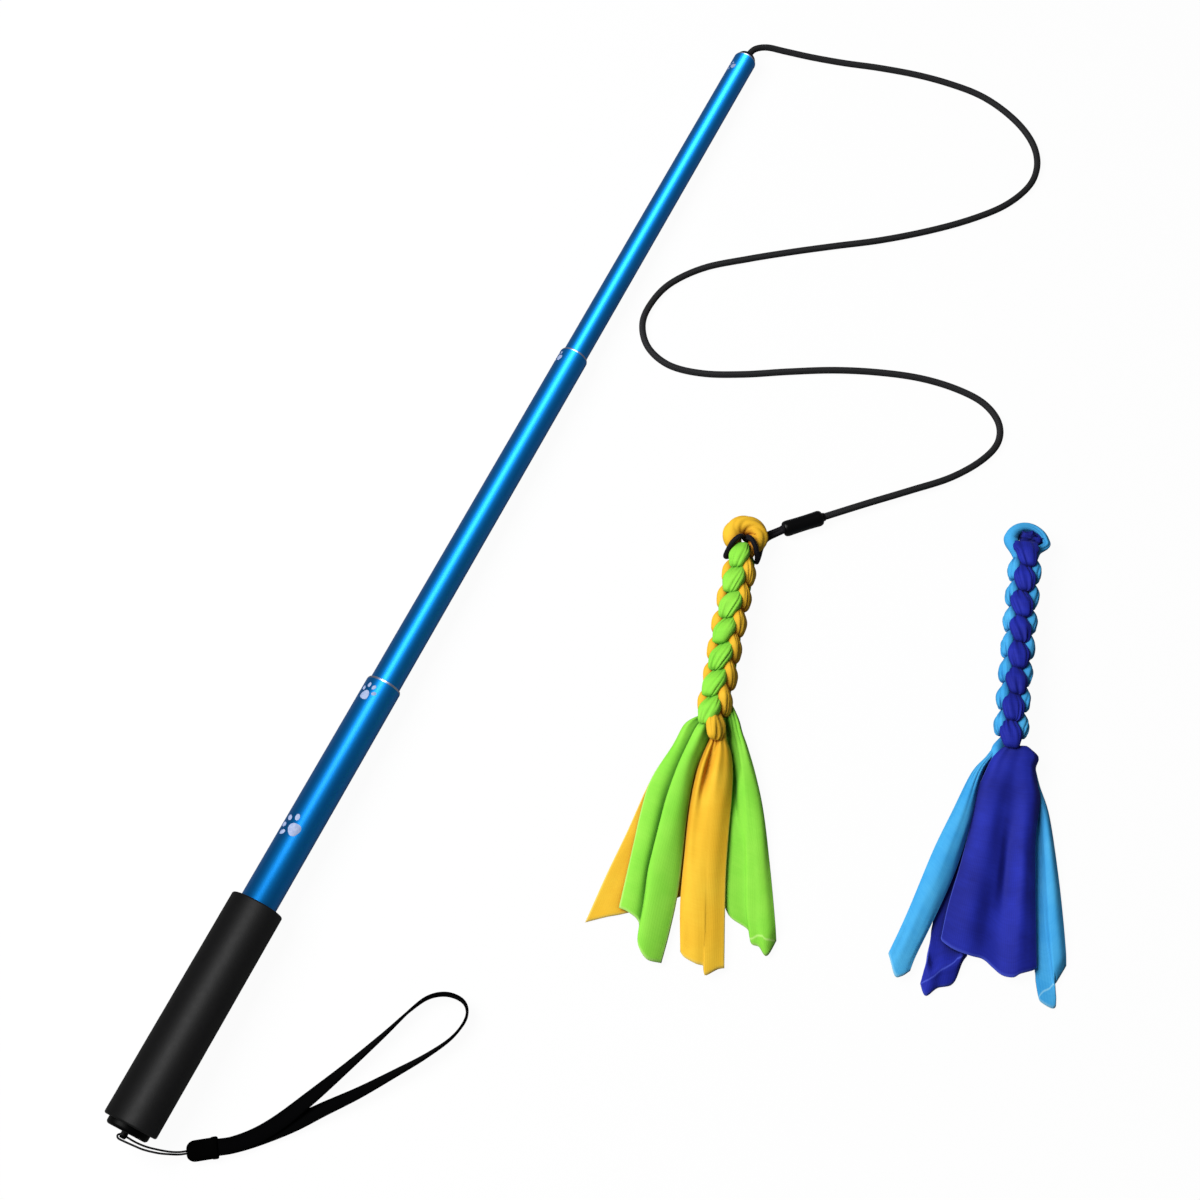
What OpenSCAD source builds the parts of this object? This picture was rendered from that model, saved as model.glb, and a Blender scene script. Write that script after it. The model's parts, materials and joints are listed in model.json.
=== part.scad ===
// Telescoping flirt pole: a foam-gripped tube in three sections, a wrist strap on the butt,
// an elastic cord from the tip with a noose, a braided cloth lure in it, and a spare lure.
// The origin is on the pole's axis, where the grip is held. The axis runs along +Y, a little downwards,
// so that the grip and the tip both rest on the floor that the cord, the strap and the lures lie on.

/* [Tubes] */
// Outside diameter of the outer tube
outer_od = 22; // [21.5:0.1:24]
// Outside diameter of the middle tube
middle_od = 19; // [18.6:0.1:19.4]
// Outside diameter of the tip tube
tip_od = 16; // [15.4:0.1:16.4]
// Wall of each tube
tube_wall = 1; // [0.7:0.1:1.1]
// Distance from the butt to the mouth of the outer tube
outer_reach = 285; // [265:1:310]
// Length of the middle tube that shows when drawn out
middle_show = 254; // [230:1:265]
// Length of the tip tube that shows when drawn out
tip_show = 269; // [240:1:280]
// Length of each inner tube that stays inside when drawn out
tube_overlap = 30; // [24:1:40]
// Length of the rolled-in lip at each mouth
lip_l = 3; // [2:0.5:5]
// Length of the bare chamfer at each mouth
rim_l = 1.2; // [0.8:0.1:1.6]
// Depth of the bare chamfer at each mouth
rim_drop = 0.5; // [0.2:0.05:0.6]
// Length of the flared foot of each inner tube
foot_l = 2; // [1.5:0.1:4]

/* [Fits] */
// Radial clearance of a tube in the lip that guides it
lip_clear = 0.1; // [0.06:0.01:0.15]
// Radial clearance of a friction bush, inside and outside
bush_clear = 0.05; // [0.02:0.01:0.08]
// Slit along each friction bush
bush_slit = 2; // [1:0.5:4]
// Clearance between pieces that butt or nest without a fit
seat_gap = 0.1; // [0.05:0.05:0.2]
// Clearance between soft pieces that lie against each other
soft_gap = 0.3; // [0.2:0.05:0.5]

/* [Grip] */
// Outside diameter of the foam sleeve
grip_od = 32; // [28:0.5:36]
// Distance from the butt to the place where the grip is held
hold_at = 70; // [50:1:90]
// Distance from the butt to the top of the foam sleeve
grip_reach = 136.5; // [110:0.5:160]
// Rounding of the sleeve's top edge
grip_top_round = 1; // [0.5:0.1:3]
// Rounding of the sleeve's bottom edge
grip_end_round = 3; // [1:0.1:3.5]

/* [End plug] */
// Diameter of the plug's flange under the foam
flange_od = 25; // [24:0.5:30]
// Where the flange's back face lies behind the butt
flange_back = 2.7; // [1:0.1:3]
// Where the flange's front face lies ahead of the butt
flange_front = 3.5; // [2.5:0.1:6]
// Rounding of the flange's back edge
flange_round = 2; // [0.5:0.1:2]
// Length of the spigot in the outer tube
spigot_l = 12.5; // [8:0.5:20]
// Width of the string lug
lug_w = 3.5; // [3:0.5:5]
// Middle of the lug, sideways from the pole's axis
lug_x = -0.5; // [-1.5:0.5:0.5]
// Radius of the lug's round end
lug_r = 1.8; // [1.7:0.1:2]
// Distance from the flange to the lug's string hole
lug_reach = 1.7; // [1.6:0.1:2]
// Diameter of the string hole
string_hole_d = 1.6; // [1.5:0.1:1.8]

/* [Tip plug] */
// Length of the plug inside the tip tube
tip_plug_l = 12; // [8:0.5:18]
// Height of the plug's dome beyond the tube
tip_dome_h = 4; // [2:0.5:5]
// Diameter of the plug's cord hole
tip_hole_d = 4.8; // [4.6:0.1:5.4]
// Diameter of the stop knot behind the plug
stop_d = 9; // [7:0.5:12]

/* [Cord] */
// Diameter of the elastic cord
cord_d = 4; // [3.6:0.1:4.2]
// Diameter of the noose, where the cord is drawn thin
noose_d = 3.2; // [2.6:0.1:3.3]
// Outside diameter of the slider
slider_od = 10; // [9:0.5:10]
// Length of the slider
slider_l = 26; // [20:0.5:34]
// Rounding of the slider's ends
slider_round = 2.2; // [1:0.1:2.5]
// Length of cord kept straight for the slider to run on
slider_run = 56; // [54:1:64]
// Diameter of the knot in the slider's mouth
knot_d = 6; // [5:0.1:6]
// Depth of the knot's recess in the slider
recess_l = 3.5; // [3.4:0.1:5]
// Clearance between the cord and the holes it runs through
cord_clear = 0.35; // [0.25:0.05:0.4]

/* [Wrist strap] */
// Width of the webbing
webbing_w = 9; // [7:0.5:9.5]
// Thickness of the webbing
webbing_t = 1.6; // [1:0.1:1.6]
// Diameter of the string
string_d = 1.2; // [0.8:0.1:1.2]
// Length of the ferrule
ferrule_l = 17; // [15:0.5:20]
// Wall of the ferrule beside the webbing
ferrule_wall = 1.2; // [0.8:0.1:2]
// Thickness of the ferrule
ferrule_t = 5.7; // [5.5:0.1:7]
// Depth of the webbing in the ferrule
ferrule_grip = 8; // [5:0.5:9]

/* [Lures] */
// Radius of the braids
braid_r = 10.8; // [9:0.1:12]
// Depth of the dips between the braid's crossings
braid_dip = 1.2; // [0:0.1:2]
// Distance between the braid's crossings
braid_pitch = 17; // [12:0.5:24]
// Radius of the neck below each knob
neck_r = 7; // [5:0.1:7]
// Length of the neck
neck_l = 14; // [13:0.5:18]
// Radius of the fold that forms a knob, to the middle of the cloth
knob_ring_r = 8.2; // [7.5:0.1:9]
// Thickness radius of the cloth in a knob
knob_cloth_r = 6.3; // [5:0.1:6.3]
// Length of the braid of the lure in the noose
lure_braid_l = 118; // [100:1:118]
// Length of the braid of the spare lure
spare_braid_l = 133; // [110:1:133]
// Sideways distance between the heads of the two lures
lure_spacing = 157; // [140:1:175]
// Thickness of the cloth tails
cloth_t = 1.5; // [0.8:0.1:1.6]

/* [Hidden] */
$fn = 48;
eps = 0.01;

// Radii and stations along the pole
outer_r = outer_od / 2;
middle_r = middle_od / 2;
tip_r = tip_od / 2;
grip_r = grip_od / 2;
outer_bore_r = outer_r - tube_wall;
middle_bore_r = middle_r - tube_wall;
tip_bore_r = tip_r - tube_wall;
middle_reach = outer_reach + middle_show;
tip_reach = middle_reach + tip_show;
middle_foot = outer_reach - tube_overlap;
tip_foot = middle_reach - tube_overlap;
handle_start = flange_front + seat_gap;

// Lie of the pole: its tilt brings the grip and the tip to the same floor
pole_tilt = atan((grip_r - tip_r) / (tip_reach - grip_reach));
floor_z = -(grip_reach - hold_at) * sin(pole_tilt) - grip_r * cos(pole_tilt);

// Cord
cord_r = cord_d / 2;
noose_r = noose_d / 2;
knot_r = knot_d / 2;
slider_r = slider_od / 2;
cord_sides = 10;
thin_sides = 8;
slider_at = [171, 488];
slider_angle = 45;
slider_dir = [cos(slider_angle), sin(slider_angle)];
slider_mid = [slider_at[0], slider_at[1], slider_r];
stop_front = tip_reach - tip_plug_l - soft_gap;

// Height of the cord's middle where it lies on the floor
lie = cord_r;
// Way of the cord from the tip to the slider: x, y from the butt and height over the floor
cord_lie = [
    [2, 820, 7.5], [9, 826, 6.5], [21, 830, 4.5], [40, 835, 2.8], [62, 841, lie], [86, 848, lie],
    [112, 854, lie], [136, 857, lie], [158, 857, lie], [178, 852, lie], [196, 843, lie],
    [209, 831, lie], [216, 816, lie], [216, 799, lie], [207, 778, lie], [190, 757, lie],
    [168, 736, lie], [142, 715, lie], [116, 697, lie], [92, 680, lie], [68, 662, lie],
    [45, 643, lie], [30, 622, lie], [25, 602, lie], [27, 585, lie], [38, 571, lie],
    [56, 565, lie], [78, 569, lie], [102, 580, lie], [128, 595, lie], [154, 609, lie],
    [180, 620, lie], [206, 628, lie], [230, 631, lie], [250, 629, lie], [264, 620, lie],
    [269, 606, lie], [264, 589, lie], [251, 569, 2.6], [232, 549, 4],
];
cord_steps = 2;

// Way of the noose round the lure's neck, in the lure's own frame, from the knot and back to it
noose_lie = [
    [14, 14.5, 3.8], [7, 9, 2.4], [0, 2, 1.8], [-6, -4.5, 2.6], [-9.6, -8, 6.5],
    [-9.4, -7, 11.5], [-7, -2.3, 17.2], [0, 2.8, 20.8], [7, -2.3, 17.2],
    [9.4, -7, 11.5], [9.6, -8, 6.5], [10.4, -2, 2.6], [13, 6, 2.4], [17, 11.5, 3.8],
];
noose_up = [0, 1, -1];
noose_steps = 2;
strand_half = noose_r + soft_gap / 2;

// Strap: where the ferrule lies, and the webbing's way as x, y, height and twist
ferrule_at = [31, 3];
ferrule_angle = 35;
ferrule_w = webbing_w + 2 * (ferrule_wall + soft_gap);
layer_step = webbing_t + seat_gap;
slot_mid = ferrule_t / 2;
upper_layer = slot_mid + layer_step / 2;
lower_layer = slot_mid - layer_step / 2;
on_edge = webbing_w / 2 + seat_gap;
webbing_lie = [
    [52, 17.8, upper_layer, 0], [61, 27.5, upper_layer, -2], [69, 40, upper_layer, -6],
    [77, 57, 4, -25], [87, 80, 4.4, -50], [97, 105, on_edge, -68], [104, 124, on_edge, -80],
    [110, 135, on_edge, -86], [119, 141, on_edge, -90], [129, 141, on_edge, -92],
    [134, 134, on_edge, -96], [132, 121, on_edge, -102], [124, 106, on_edge, -110],
    [113, 90, 4.4, -122], [100, 72, 4, -138], [87, 56, 3.4, -154], [75, 41, 2.4, -172],
    [62, 27, lower_layer, -178], [52, 17.8, lower_layer, -180],
];
webbing_steps = 2;

// String: from the ferrule to the lug's hole, through it, round the lug and back
hole_back = flange_back + lug_reach;
string_r = string_d / 2;
string_out = [[24, -0.8, 9], [19, -2.6, 13.2]];
string_back = [[19.8, -4.1, 12.4], [24.6, -1.9, 8.3]];
string_turn = 1.2;
string_round = lug_r + string_r + 1.5 * seat_gap;
// Strands beside the lug, from the right end of its hole: the one to the hole, the one from round the lug
string_lead = [[12, 0.3, -0.6], [6, -0.2, -0.3]];
string_trail = [[0, -string_round, -0.1], [6, 0.4 - string_round, -0.6], [12, 1 - string_round, -1]];
string_end = 5;
string_rise = 4;
string_half = string_r + 2 * seat_gap;
string_steps = 2;

// Lures: places on the floor, turns, and the height of their middles
lure_at = [154, 465];
lure_turn = 15;
spare_at = [lure_at[0] + lure_spacing, 542];
spare_turn = 16.5;
lure_mid = braid_r + 2 * seat_gap;
crossing_points = 6;
// Heights of the tails where they leave a braid: under it, beside it, at its middle and over it
tail_under = 2.5;
tail_beside = 5;
tail_middle = lure_mid;
tail_over = lure_mid + 1;
// Heights of the tails at rest: on the floor, and over a tail of either lure
rest_low = seat_gap;
rest_over = 2.2;
rest_spare = 2.8;

// Tails: each edge is four points from the braid to the hem, then the height at the braid and at
// rest, then the folds as from, to (shares of the width) and height
lure_yellow_left = [
    [[-8, 0], [-22, -32], [-38, -77], [-51, -129]], [[-3, 0], [-12, -32], [-22, -77], [-28, -120]],
    tail_under, rest_low, [[0, 0.4, 0.3]],
];
lure_green_left = [
    [[-9, 0], [-24, -30], [-35, -72], [-36, -118]], [[1, 0], [-4, -32], [-4, -87], [-6, -144]],
    tail_middle, rest_over, [[0.05, 0.42, 3], [0.45, 1, 5]],
];
lure_yellow_centre = [
    [[3, 0], [0, -32], [-2, -82], [5, -138]], [[12, 0], [17, -32], [25, -87], [32, -141]],
    tail_over, rest_over, [[0, 0.35, 3], [0.4, 0.95, 2.5]],
];
lure_green_right = [
    [[8, 0], [14, -32], [22, -77], [28, -110]], [[15, 0], [36, -42], [50, -82], [58, -124]],
    tail_beside, rest_low, [[0.5, 0.95, 4]],
];
spare_dark_left = [
    [[-8, 0], [-16, -56], [-27, -111], [-34, -148]], [[-3, 0], [-6, -56], [-10, -101], [-16, -132]],
    tail_under, rest_low, [[0, 0.4, 1]],
];
spare_light_left = [
    [[-11, 0], [-22, -31], [-41, -84], [-56, -132]], [[-5, 0], [-15, -34], [-27, -78], [-38, -118]],
    tail_middle, rest_spare, [[0.1, 0.9, 4]],
];
spare_dark_centre = [
    [[-4, 0], [-13, -31], [-20, -74], [-27, -120]], [[17, 0], [20, -31], [25, -81], [28, -128]],
    tail_over, rest_spare, [[0.05, 0.4, 2], [0.5, 1, 3.5]],
];
spare_light_right = [
    [[8, 0], [18, -31], [24, -81], [30, -138]], [[15, 0], [31, -48], [42, -98], [44, -136]],
    tail_beside, rest_low, [[0.45, 1, 4]],
];
tail_rows = 12;
tail_columns = 10;
// Shares of a tail's length over which it comes down to rest and its folds grow
tail_drop = 0.4;
fold_start = 0.12;
fold_full = 0.6;

// Vector helpers
function unit(v) = v / norm(v);
function flat(p) = [p[0], p[1], p[2]];
function smooth(t) = let (u = min(max(t, 0), 1)) u * u * (3 - 2 * u);
function placed(p) = [p[0], p[1] - hold_at, p[2] + floor_z];
function laid(points) = [for (p = points) placed(p)];
function turned(p, angle) =
    [p[0] * cos(angle) - p[1] * sin(angle), p[0] * sin(angle) + p[1] * cos(angle)];
function on_axis(s) = (s - hold_at) * [0, cos(pole_tilt), -sin(pole_tilt)];

// Smooth curve through points of any dimension, with the ends repeated
function bend(a, b, c, d, t) =
    0.5 * ((2 * b) + (c - a) * t + (2 * a - 5 * b + 4 * c - d) * t * t
        + (3 * b - a - 3 * c + d) * t * t * t);
function knot(p, i) = p[min(max(i, 0), len(p) - 1)];
function curve_at(p, i, t) = bend(knot(p, i - 1), knot(p, i), knot(p, i + 1), knot(p, i + 2), t);
function curved(p, steps) = concat(
    [for (i = [0 : len(p) - 2], k = [0 : steps - 1]) curve_at(p, i, k / steps)], [p[len(p) - 1]]);
function edge_at(p, t) =
    let (u = t * (len(p) - 1), i = min(floor(u), len(p) - 2)) curve_at(p, i, u - i);

// Rings of a tube or a band along points, wound about the way they run
function tangent(p, i) = unit(flat(knot(p, i + 1)) - flat(knot(p, i - 1)));
function round_ring(c, t, up, r, sides) =
    let (a = unit(cross(up, t)), b = cross(t, a))
    [for (k = [0 : sides - 1]) c + r * (cos(360 * k / sides) * a + sin(360 * k / sides) * b)];
function band_ring(p, t, w, h) =
    let (left = unit(cross([0, 0, 1], t)), top = cross(t, left),
         across = left * cos(p[3]) + top * sin(p[3]), face = cross(t, across))
    [for (s = [[1, 1], [-1, 1], [-1, -1], [1, -1]])
        flat(p) + across * s[0] * w / 2 + face * s[1] * h / 2];
function skin(rings, n) = concat(
    [for (i = [0 : rings - 2], k = [0 : n - 1]) let (m = (k + 1) % n)
        each [[i * n + k, (i + 1) * n + k, (i + 1) * n + m], [i * n + k, (i + 1) * n + m, i * n + m]]],
    [for (k = [1 : n - 2]) [0, k, k + 1]],
    [for (k = [1 : n - 2]) let (e = (rings - 1) * n) [e, e + k + 1, e + k]]);

module tube_along(points, r, sides, up = [0, 0, 1]) {
    rings = [for (i = [0 : len(points) - 1]) each round_ring(points[i], tangent(points, i), up, r, sides)];
    polyhedron(points = rings, faces = skin(len(points), sides), convexity = 10);
}

module band_along(points, w, h) {
    rings = [for (i = [0 : len(points) - 1]) each band_ring(points[i], tangent(points, i), w, h)];
    polyhedron(points = rings, faces = skin(len(points), 4), convexity = 10);
}

// Frames that pieces are built in
module along_pole(s = 0) {
    rotate([-90 - pole_tilt, 0, 0]) translate([0, 0, s - hold_at]) children();
}

module on_floor(at, turn) {
    translate(placed([at[0], at[1], 0])) rotate([0, 0, turn]) children();
}

// Half outline of a ring with rounded outer edges
module ring_half(r_in, r_out, low, high, low_round, high_round) {
    difference() {
        translate([r_in, low]) square([r_out - r_in, high - low]);
        translate([r_out - low_round, low - eps]) square([low_round + eps, low_round + eps]);
        translate([r_out - high_round, high - high_round]) square([high_round + eps, high_round + eps]);
    }
    intersection() {
        translate([r_out - low_round, low]) square([low_round, low_round]);
        translate([r_out - low_round, low + low_round]) circle(low_round);
    }
    intersection() {
        translate([r_out - high_round, high - high_round]) square([high_round, high_round]);
        translate([r_out - high_round, high - high_round]) circle(high_round);
    }
}

// Split friction bush between an inner tube's foot and the bore around it
module friction_bush(start, end, r_in, r_out) {
    along_pole()
    difference() {
        rotate_extrude() translate([r_in, start]) square([r_out - r_in, end - start]);
        translate([0, -bush_slit / 2, start - eps]) cube([2 * r_out, bush_slit, end - start + 2 * eps]);
    }
}

// Inner tube with a flared foot; a lip radius rolls its mouth in round the next tube
module inner_tube(foot, reach, r, foot_r, lip_r) {
    bore = r - tube_wall;
    along_pole()
    rotate_extrude()
    polygon([
        [bore, foot], [foot_r, foot], [foot_r, foot + foot_l], [r, foot + foot_l],
        [r, reach - rim_l], [r - rim_drop, reach], [lip_r, reach],
        [lip_r, reach - lip_l], [bore, reach - lip_l],
    ]);
}

module outer_tube() {
    lip_r = middle_r + lip_clear;
    color("royalblue")
    along_pole()
    rotate_extrude()
    polygon([
        [outer_bore_r, handle_start], [outer_r, handle_start], [outer_r, outer_reach - rim_l],
        [outer_r - rim_drop, outer_reach], [lip_r, outer_reach], [lip_r, outer_reach - lip_l],
        [outer_bore_r, outer_reach - lip_l],
    ]);
}

module grip_sleeve() {
    color("dimgray")
    along_pole()
    rotate_extrude()
    ring_half(outer_r + seat_gap / 2, grip_r, handle_start, grip_reach, grip_end_round, grip_top_round);
}

module end_plug() {
    color("black")
    along_pole() {
        rotate_extrude() ring_half(0, flange_od / 2, -flange_back, flange_front, flange_round, eps);
        translate([0, 0, flange_front - eps]) cylinder(h = spigot_l + eps, r = outer_bore_r - seat_gap / 2);
        translate([lug_x - lug_w / 2, 0, 0])
        rotate([0, 90, 0])
        linear_extrude(lug_w)
        difference() {
            union() {
                translate([hole_back, 0]) circle(lug_r);
                translate([flange_back - eps, -lug_r]) square([lug_reach + eps, 2 * lug_r]);
            }
            translate([hole_back, 0]) circle(d = string_hole_d);
        }
    }
}

module middle_bush() {
    color("peru")
    friction_bush(middle_foot + foot_l + seat_gap, outer_reach - lip_l - soft_gap,
        middle_r + bush_clear, outer_bore_r - bush_clear);
}

module middle_tube() {
    color("royalblue")
    inner_tube(middle_foot, middle_reach, middle_r, outer_bore_r - bush_clear, tip_r + lip_clear);
}

module tip_bush() {
    color("peru")
    friction_bush(tip_foot + foot_l + seat_gap, middle_reach - lip_l - soft_gap,
        tip_r + bush_clear, middle_bore_r - bush_clear);
}

module tip_tube() {
    color("royalblue")
    inner_tube(tip_foot, tip_reach, tip_r, middle_bore_r - bush_clear, tip_bore_r - eps);
}

module tip_plug() {
    plug_r = tip_bore_r - seat_gap / 2 - eps;
    color("black")
    along_pole(tip_reach - tip_plug_l)
    rotate_extrude()
    difference() {
        union() {
            square([plug_r, tip_plug_l]);
            ring_half(0, plug_r, 0, tip_plug_l + tip_dome_h, eps, tip_dome_h);
        }
        translate([0, -eps]) square([tip_hole_d / 2, tip_plug_l + tip_dome_h + 2 * eps]);
    }
}

module cord_stop() {
    color("black")
    along_pole(stop_front - stop_d / 2)
    sphere(d = stop_d);
}

module cord() {
    run_start = knot_r + soft_gap;
    exit = [on_axis(stop_front + soft_gap), on_axis(tip_reach), on_axis(tip_reach + tip_dome_h)];
    slide = [for (d = [slider_run, slider_run / 2, run_start])
        [slider_at[0] + slider_dir[0] * d, slider_at[1] + slider_dir[1] * d, slider_r]];
    color("darkslategray")
    tube_along(curved(concat(exit, laid(cord_lie), laid(slide)), cord_steps), cord_r, cord_sides);
}

module cord_slider() {
    color("black")
    translate(placed(slider_mid))
    rotate([0, 90, slider_angle])
    translate([0, 0, soft_gap])
    rotate_extrude()
    difference() {
        ring_half(0, slider_r, 0, slider_l, slider_round, slider_round);
        translate([0, -eps]) square([cord_r + cord_clear, slider_l + 2 * eps]);
        translate([0, -eps]) square([knot_r + cord_clear, recess_l + eps]);
    }
}

module noose_knot() {
    color("black")
    translate(placed(slider_mid))
    sphere(d = knot_d);
}

// Start of a strand of the noose at the knot, in the lure's frame
function strand_start(side) =
    let (at = turned(slider_at - lure_at, -lure_turn), dir = turned(slider_dir, -lure_turn),
         from = at - dir * (knot_r + soft_gap) + side * strand_half * [-dir[1], dir[0]])
    [from[0], from[1], slider_r];

module noose() {
    color("black")
    on_floor(lure_at, lure_turn)
    tube_along(curved(concat([strand_start(1)], noose_lie, [strand_start(-1)]), noose_steps),
        noose_r, thin_sides, noose_up);
}

// Point beside the ferrule's middle line, as x, y and height
function at_ferrule(along, aside) = concat(ferrule_at + turned([along, aside], ferrule_angle), [slot_mid]);

module strap_string() {
    right_end = lug_x + lug_w / 2;
    left_end = lug_x - lug_w / 2;
    hole = on_axis(-hole_back);
    inside = [for (x = [right_end, lug_x, left_end]) [x, 0, 0]];
    turn = [[left_end - string_turn, -string_round / 2, 0], [left_end, -string_round, 0]];
    lead = [for (d = string_lead) [right_end, 0, 0] + d];
    trail = [for (d = string_trail) [right_end, 0, 0] + d];
    through = [for (d = concat(lead, inside, turn, trail)) hole + d];
    strand = [for (d = [string_end, 0, -string_rise]) [d, max(0, -d) / string_rise]];
    out = [for (d = strand) at_ferrule(d[0], string_half) + [0, 0, d[1]]];
    back = [for (i = [2 : -1 : 0]) at_ferrule(strand[i][0], -string_half) + [0, 0, strand[i][1]]];
    points = concat(laid(concat(out, string_out)), through, laid(concat(string_back, back)));
    color("black")
    tube_along(curved(points, string_steps), string_r, thin_sides);
}

module strap_ferrule() {
    half = ferrule_w / 2;
    nose = half - ferrule_wall;
    slot_h = 2 * webbing_t + seat_gap + soft_gap;
    cavity_w = 2 * (string_half + string_r) + soft_gap;
    cavity_h = string_d + soft_gap;
    color("black")
    on_floor(ferrule_at, ferrule_angle)
    difference() {
        linear_extrude(ferrule_t) {
            translate([nose, -half]) square([ferrule_l - nose, ferrule_w]);
            translate([0, nose - half]) square([nose + eps, 2 * (half - nose)]);
            intersection() {
                translate([0, -half]) square([nose + eps, ferrule_w]);
                union() {
                    translate([nose, half - nose]) circle(nose);
                    translate([nose, nose - half]) circle(nose);
                }
            }
        }
        translate([ferrule_l - ferrule_grip - soft_gap, -(webbing_w + soft_gap) / 2, slot_mid - slot_h / 2])
        cube([ferrule_grip + 2 * soft_gap, webbing_w + soft_gap, slot_h]);
        translate([-eps, -cavity_w / 2, slot_mid - cavity_h / 2])
        cube([string_end + soft_gap + eps, cavity_w, cavity_h]);
    }
}

module wrist_strap() {
    held = at_ferrule(ferrule_l - ferrule_grip, 0);
    mouth = at_ferrule(ferrule_l, 0);
    upper = [for (p = [held, mouth]) [p[0], p[1], upper_layer, 0]];
    lower = [for (p = [mouth, held]) [p[0], p[1], lower_layer, -180]];
    points = [for (p = concat(upper, webbing_lie, lower)) concat(placed(p), [p[3]])];
    color("black")
    band_along(curved(points, webbing_steps), webbing_w, webbing_t);
}

// Knob: the cloth folded over the end of the braid as half a ring lying flat
module cloth_knob() {
    translate([0, soft_gap, lure_mid])
    rotate_extrude(angle = 180)
    translate([knob_ring_r, 0])
    circle(knob_cloth_r);
}

// Braid: a narrow neck, then a round body that dips at each crossing
module cloth_braid(length) {
    body = length - neck_l;
    count = max(1, round(body / braid_pitch));
    steps = count * crossing_points;
    swell = [for (i = [0 : steps]) [
        braid_r - braid_dip * pow(cos(180 * i / crossing_points), 2), -neck_l - body * i / steps]];
    translate([0, 0, lure_mid])
    rotate([-90, 0, 0])
    rotate_extrude()
    polygon(concat([[0, -length], [0, 0], [neck_r, 0], [neck_r, -neck_l]], swell));
}

// Height of a tail at a share of its length and width
function fold_at(folds, v) =
    [for (f = folds) let (w = (v - f[0]) / (f[1] - f[0])) w > 0 && w < 1 ? f[2] * pow(sin(180 * w), 2) : 0]
    * [for (f = folds) 1];
function tail_h(spec, t, v) =
    spec[3] + (spec[2] - spec[3]) * (1 - smooth(t / tail_drop))
    + fold_at(spec[4], v) * smooth((t - fold_start) / (fold_full - fold_start));
function tail_point(spec, t, v, rise) =
    let (p = edge_at(spec[0], t) * (1 - v) + edge_at(spec[1], t) * v)
    [p[0], p[1], tail_h(spec, t, v) + rise];

// Tail: a folded strip of cloth from the end of a braid to its hem
module cloth_tail(spec, braid_l) {
    n = tail_rows;
    m = tail_columns;
    layer = (n + 1) * (m + 1);
    points = [for (rise = [cloth_t, 0], i = [0 : n], j = [0 : m]) tail_point(spec, i / n, j / m, rise)];
    sheet = [for (i = [0 : n - 1], j = [0 : m - 1])
        let (a = i * (m + 1) + j, b = a + 1, c = a + m + 1, d = c + 1) each [[a, b, d], [a, d, c]]];
    under = [for (f = sheet) [f[0] + layer, f[2] + layer, f[1] + layer]];
    rim = concat(
        [for (j = [0 : m - 1]) [j + 1, j]],
        [for (i = [0 : n - 1]) [i * (m + 1), (i + 1) * (m + 1)]],
        [for (j = [0 : m - 1]) let (e = n * (m + 1)) [e + j, e + j + 1]],
        [for (i = [n : -1 : 1]) [i * (m + 1) + m, (i - 1) * (m + 1) + m]]);
    sides = [for (e = rim) each [[e[0], e[1], e[1] + layer], [e[0], e[1] + layer, e[0] + layer]]];
    translate([0, -braid_l - soft_gap, 0])
    polyhedron(points = points, faces = concat(sheet, under, sides), convexity = 10);
}

module lure_knob() {
    color("gold") on_floor(lure_at, lure_turn) cloth_knob();
}

module lure_braid() {
    color("limegreen") on_floor(lure_at, lure_turn) cloth_braid(lure_braid_l);
}

module lure_tail_yellow_left() {
    color("gold") on_floor(lure_at, lure_turn) cloth_tail(lure_yellow_left, lure_braid_l);
}

module lure_tail_green_left() {
    color("limegreen") on_floor(lure_at, lure_turn) cloth_tail(lure_green_left, lure_braid_l);
}

module lure_tail_yellow_centre() {
    color("gold") on_floor(lure_at, lure_turn) cloth_tail(lure_yellow_centre, lure_braid_l);
}

module lure_tail_green_right() {
    color("limegreen") on_floor(lure_at, lure_turn) cloth_tail(lure_green_right, lure_braid_l);
}

module spare_knob() {
    color("deepskyblue") on_floor(spare_at, spare_turn) cloth_knob();
}

module spare_braid() {
    color("mediumblue") on_floor(spare_at, spare_turn) cloth_braid(spare_braid_l);
}

module spare_tail_dark_left() {
    color("mediumblue") on_floor(spare_at, spare_turn) cloth_tail(spare_dark_left, spare_braid_l);
}

module spare_tail_light_left() {
    color("deepskyblue") on_floor(spare_at, spare_turn) cloth_tail(spare_light_left, spare_braid_l);
}

module spare_tail_dark_centre() {
    color("mediumblue") on_floor(spare_at, spare_turn) cloth_tail(spare_dark_centre, spare_braid_l);
}

module spare_tail_light_right() {
    color("deepskyblue") on_floor(spare_at, spare_turn) cloth_tail(spare_light_right, spare_braid_l);
}

outer_tube();
grip_sleeve();
end_plug();
middle_bush();
middle_tube();
tip_bush();
tip_tube();
tip_plug();
cord_stop();
cord();
cord_slider();
noose_knot();
noose();
strap_string();
strap_ferrule();
wrist_strap();
lure_knob();
lure_braid();
lure_tail_yellow_left();
lure_tail_green_left();
lure_tail_yellow_centre();
lure_tail_green_right();
spare_knob();
spare_braid();
spare_tail_dark_left();
spare_tail_light_left();
spare_tail_dark_centre();
spare_tail_light_right();
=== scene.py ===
"""Looks of a telescoping flirt pole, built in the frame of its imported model."""

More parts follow.
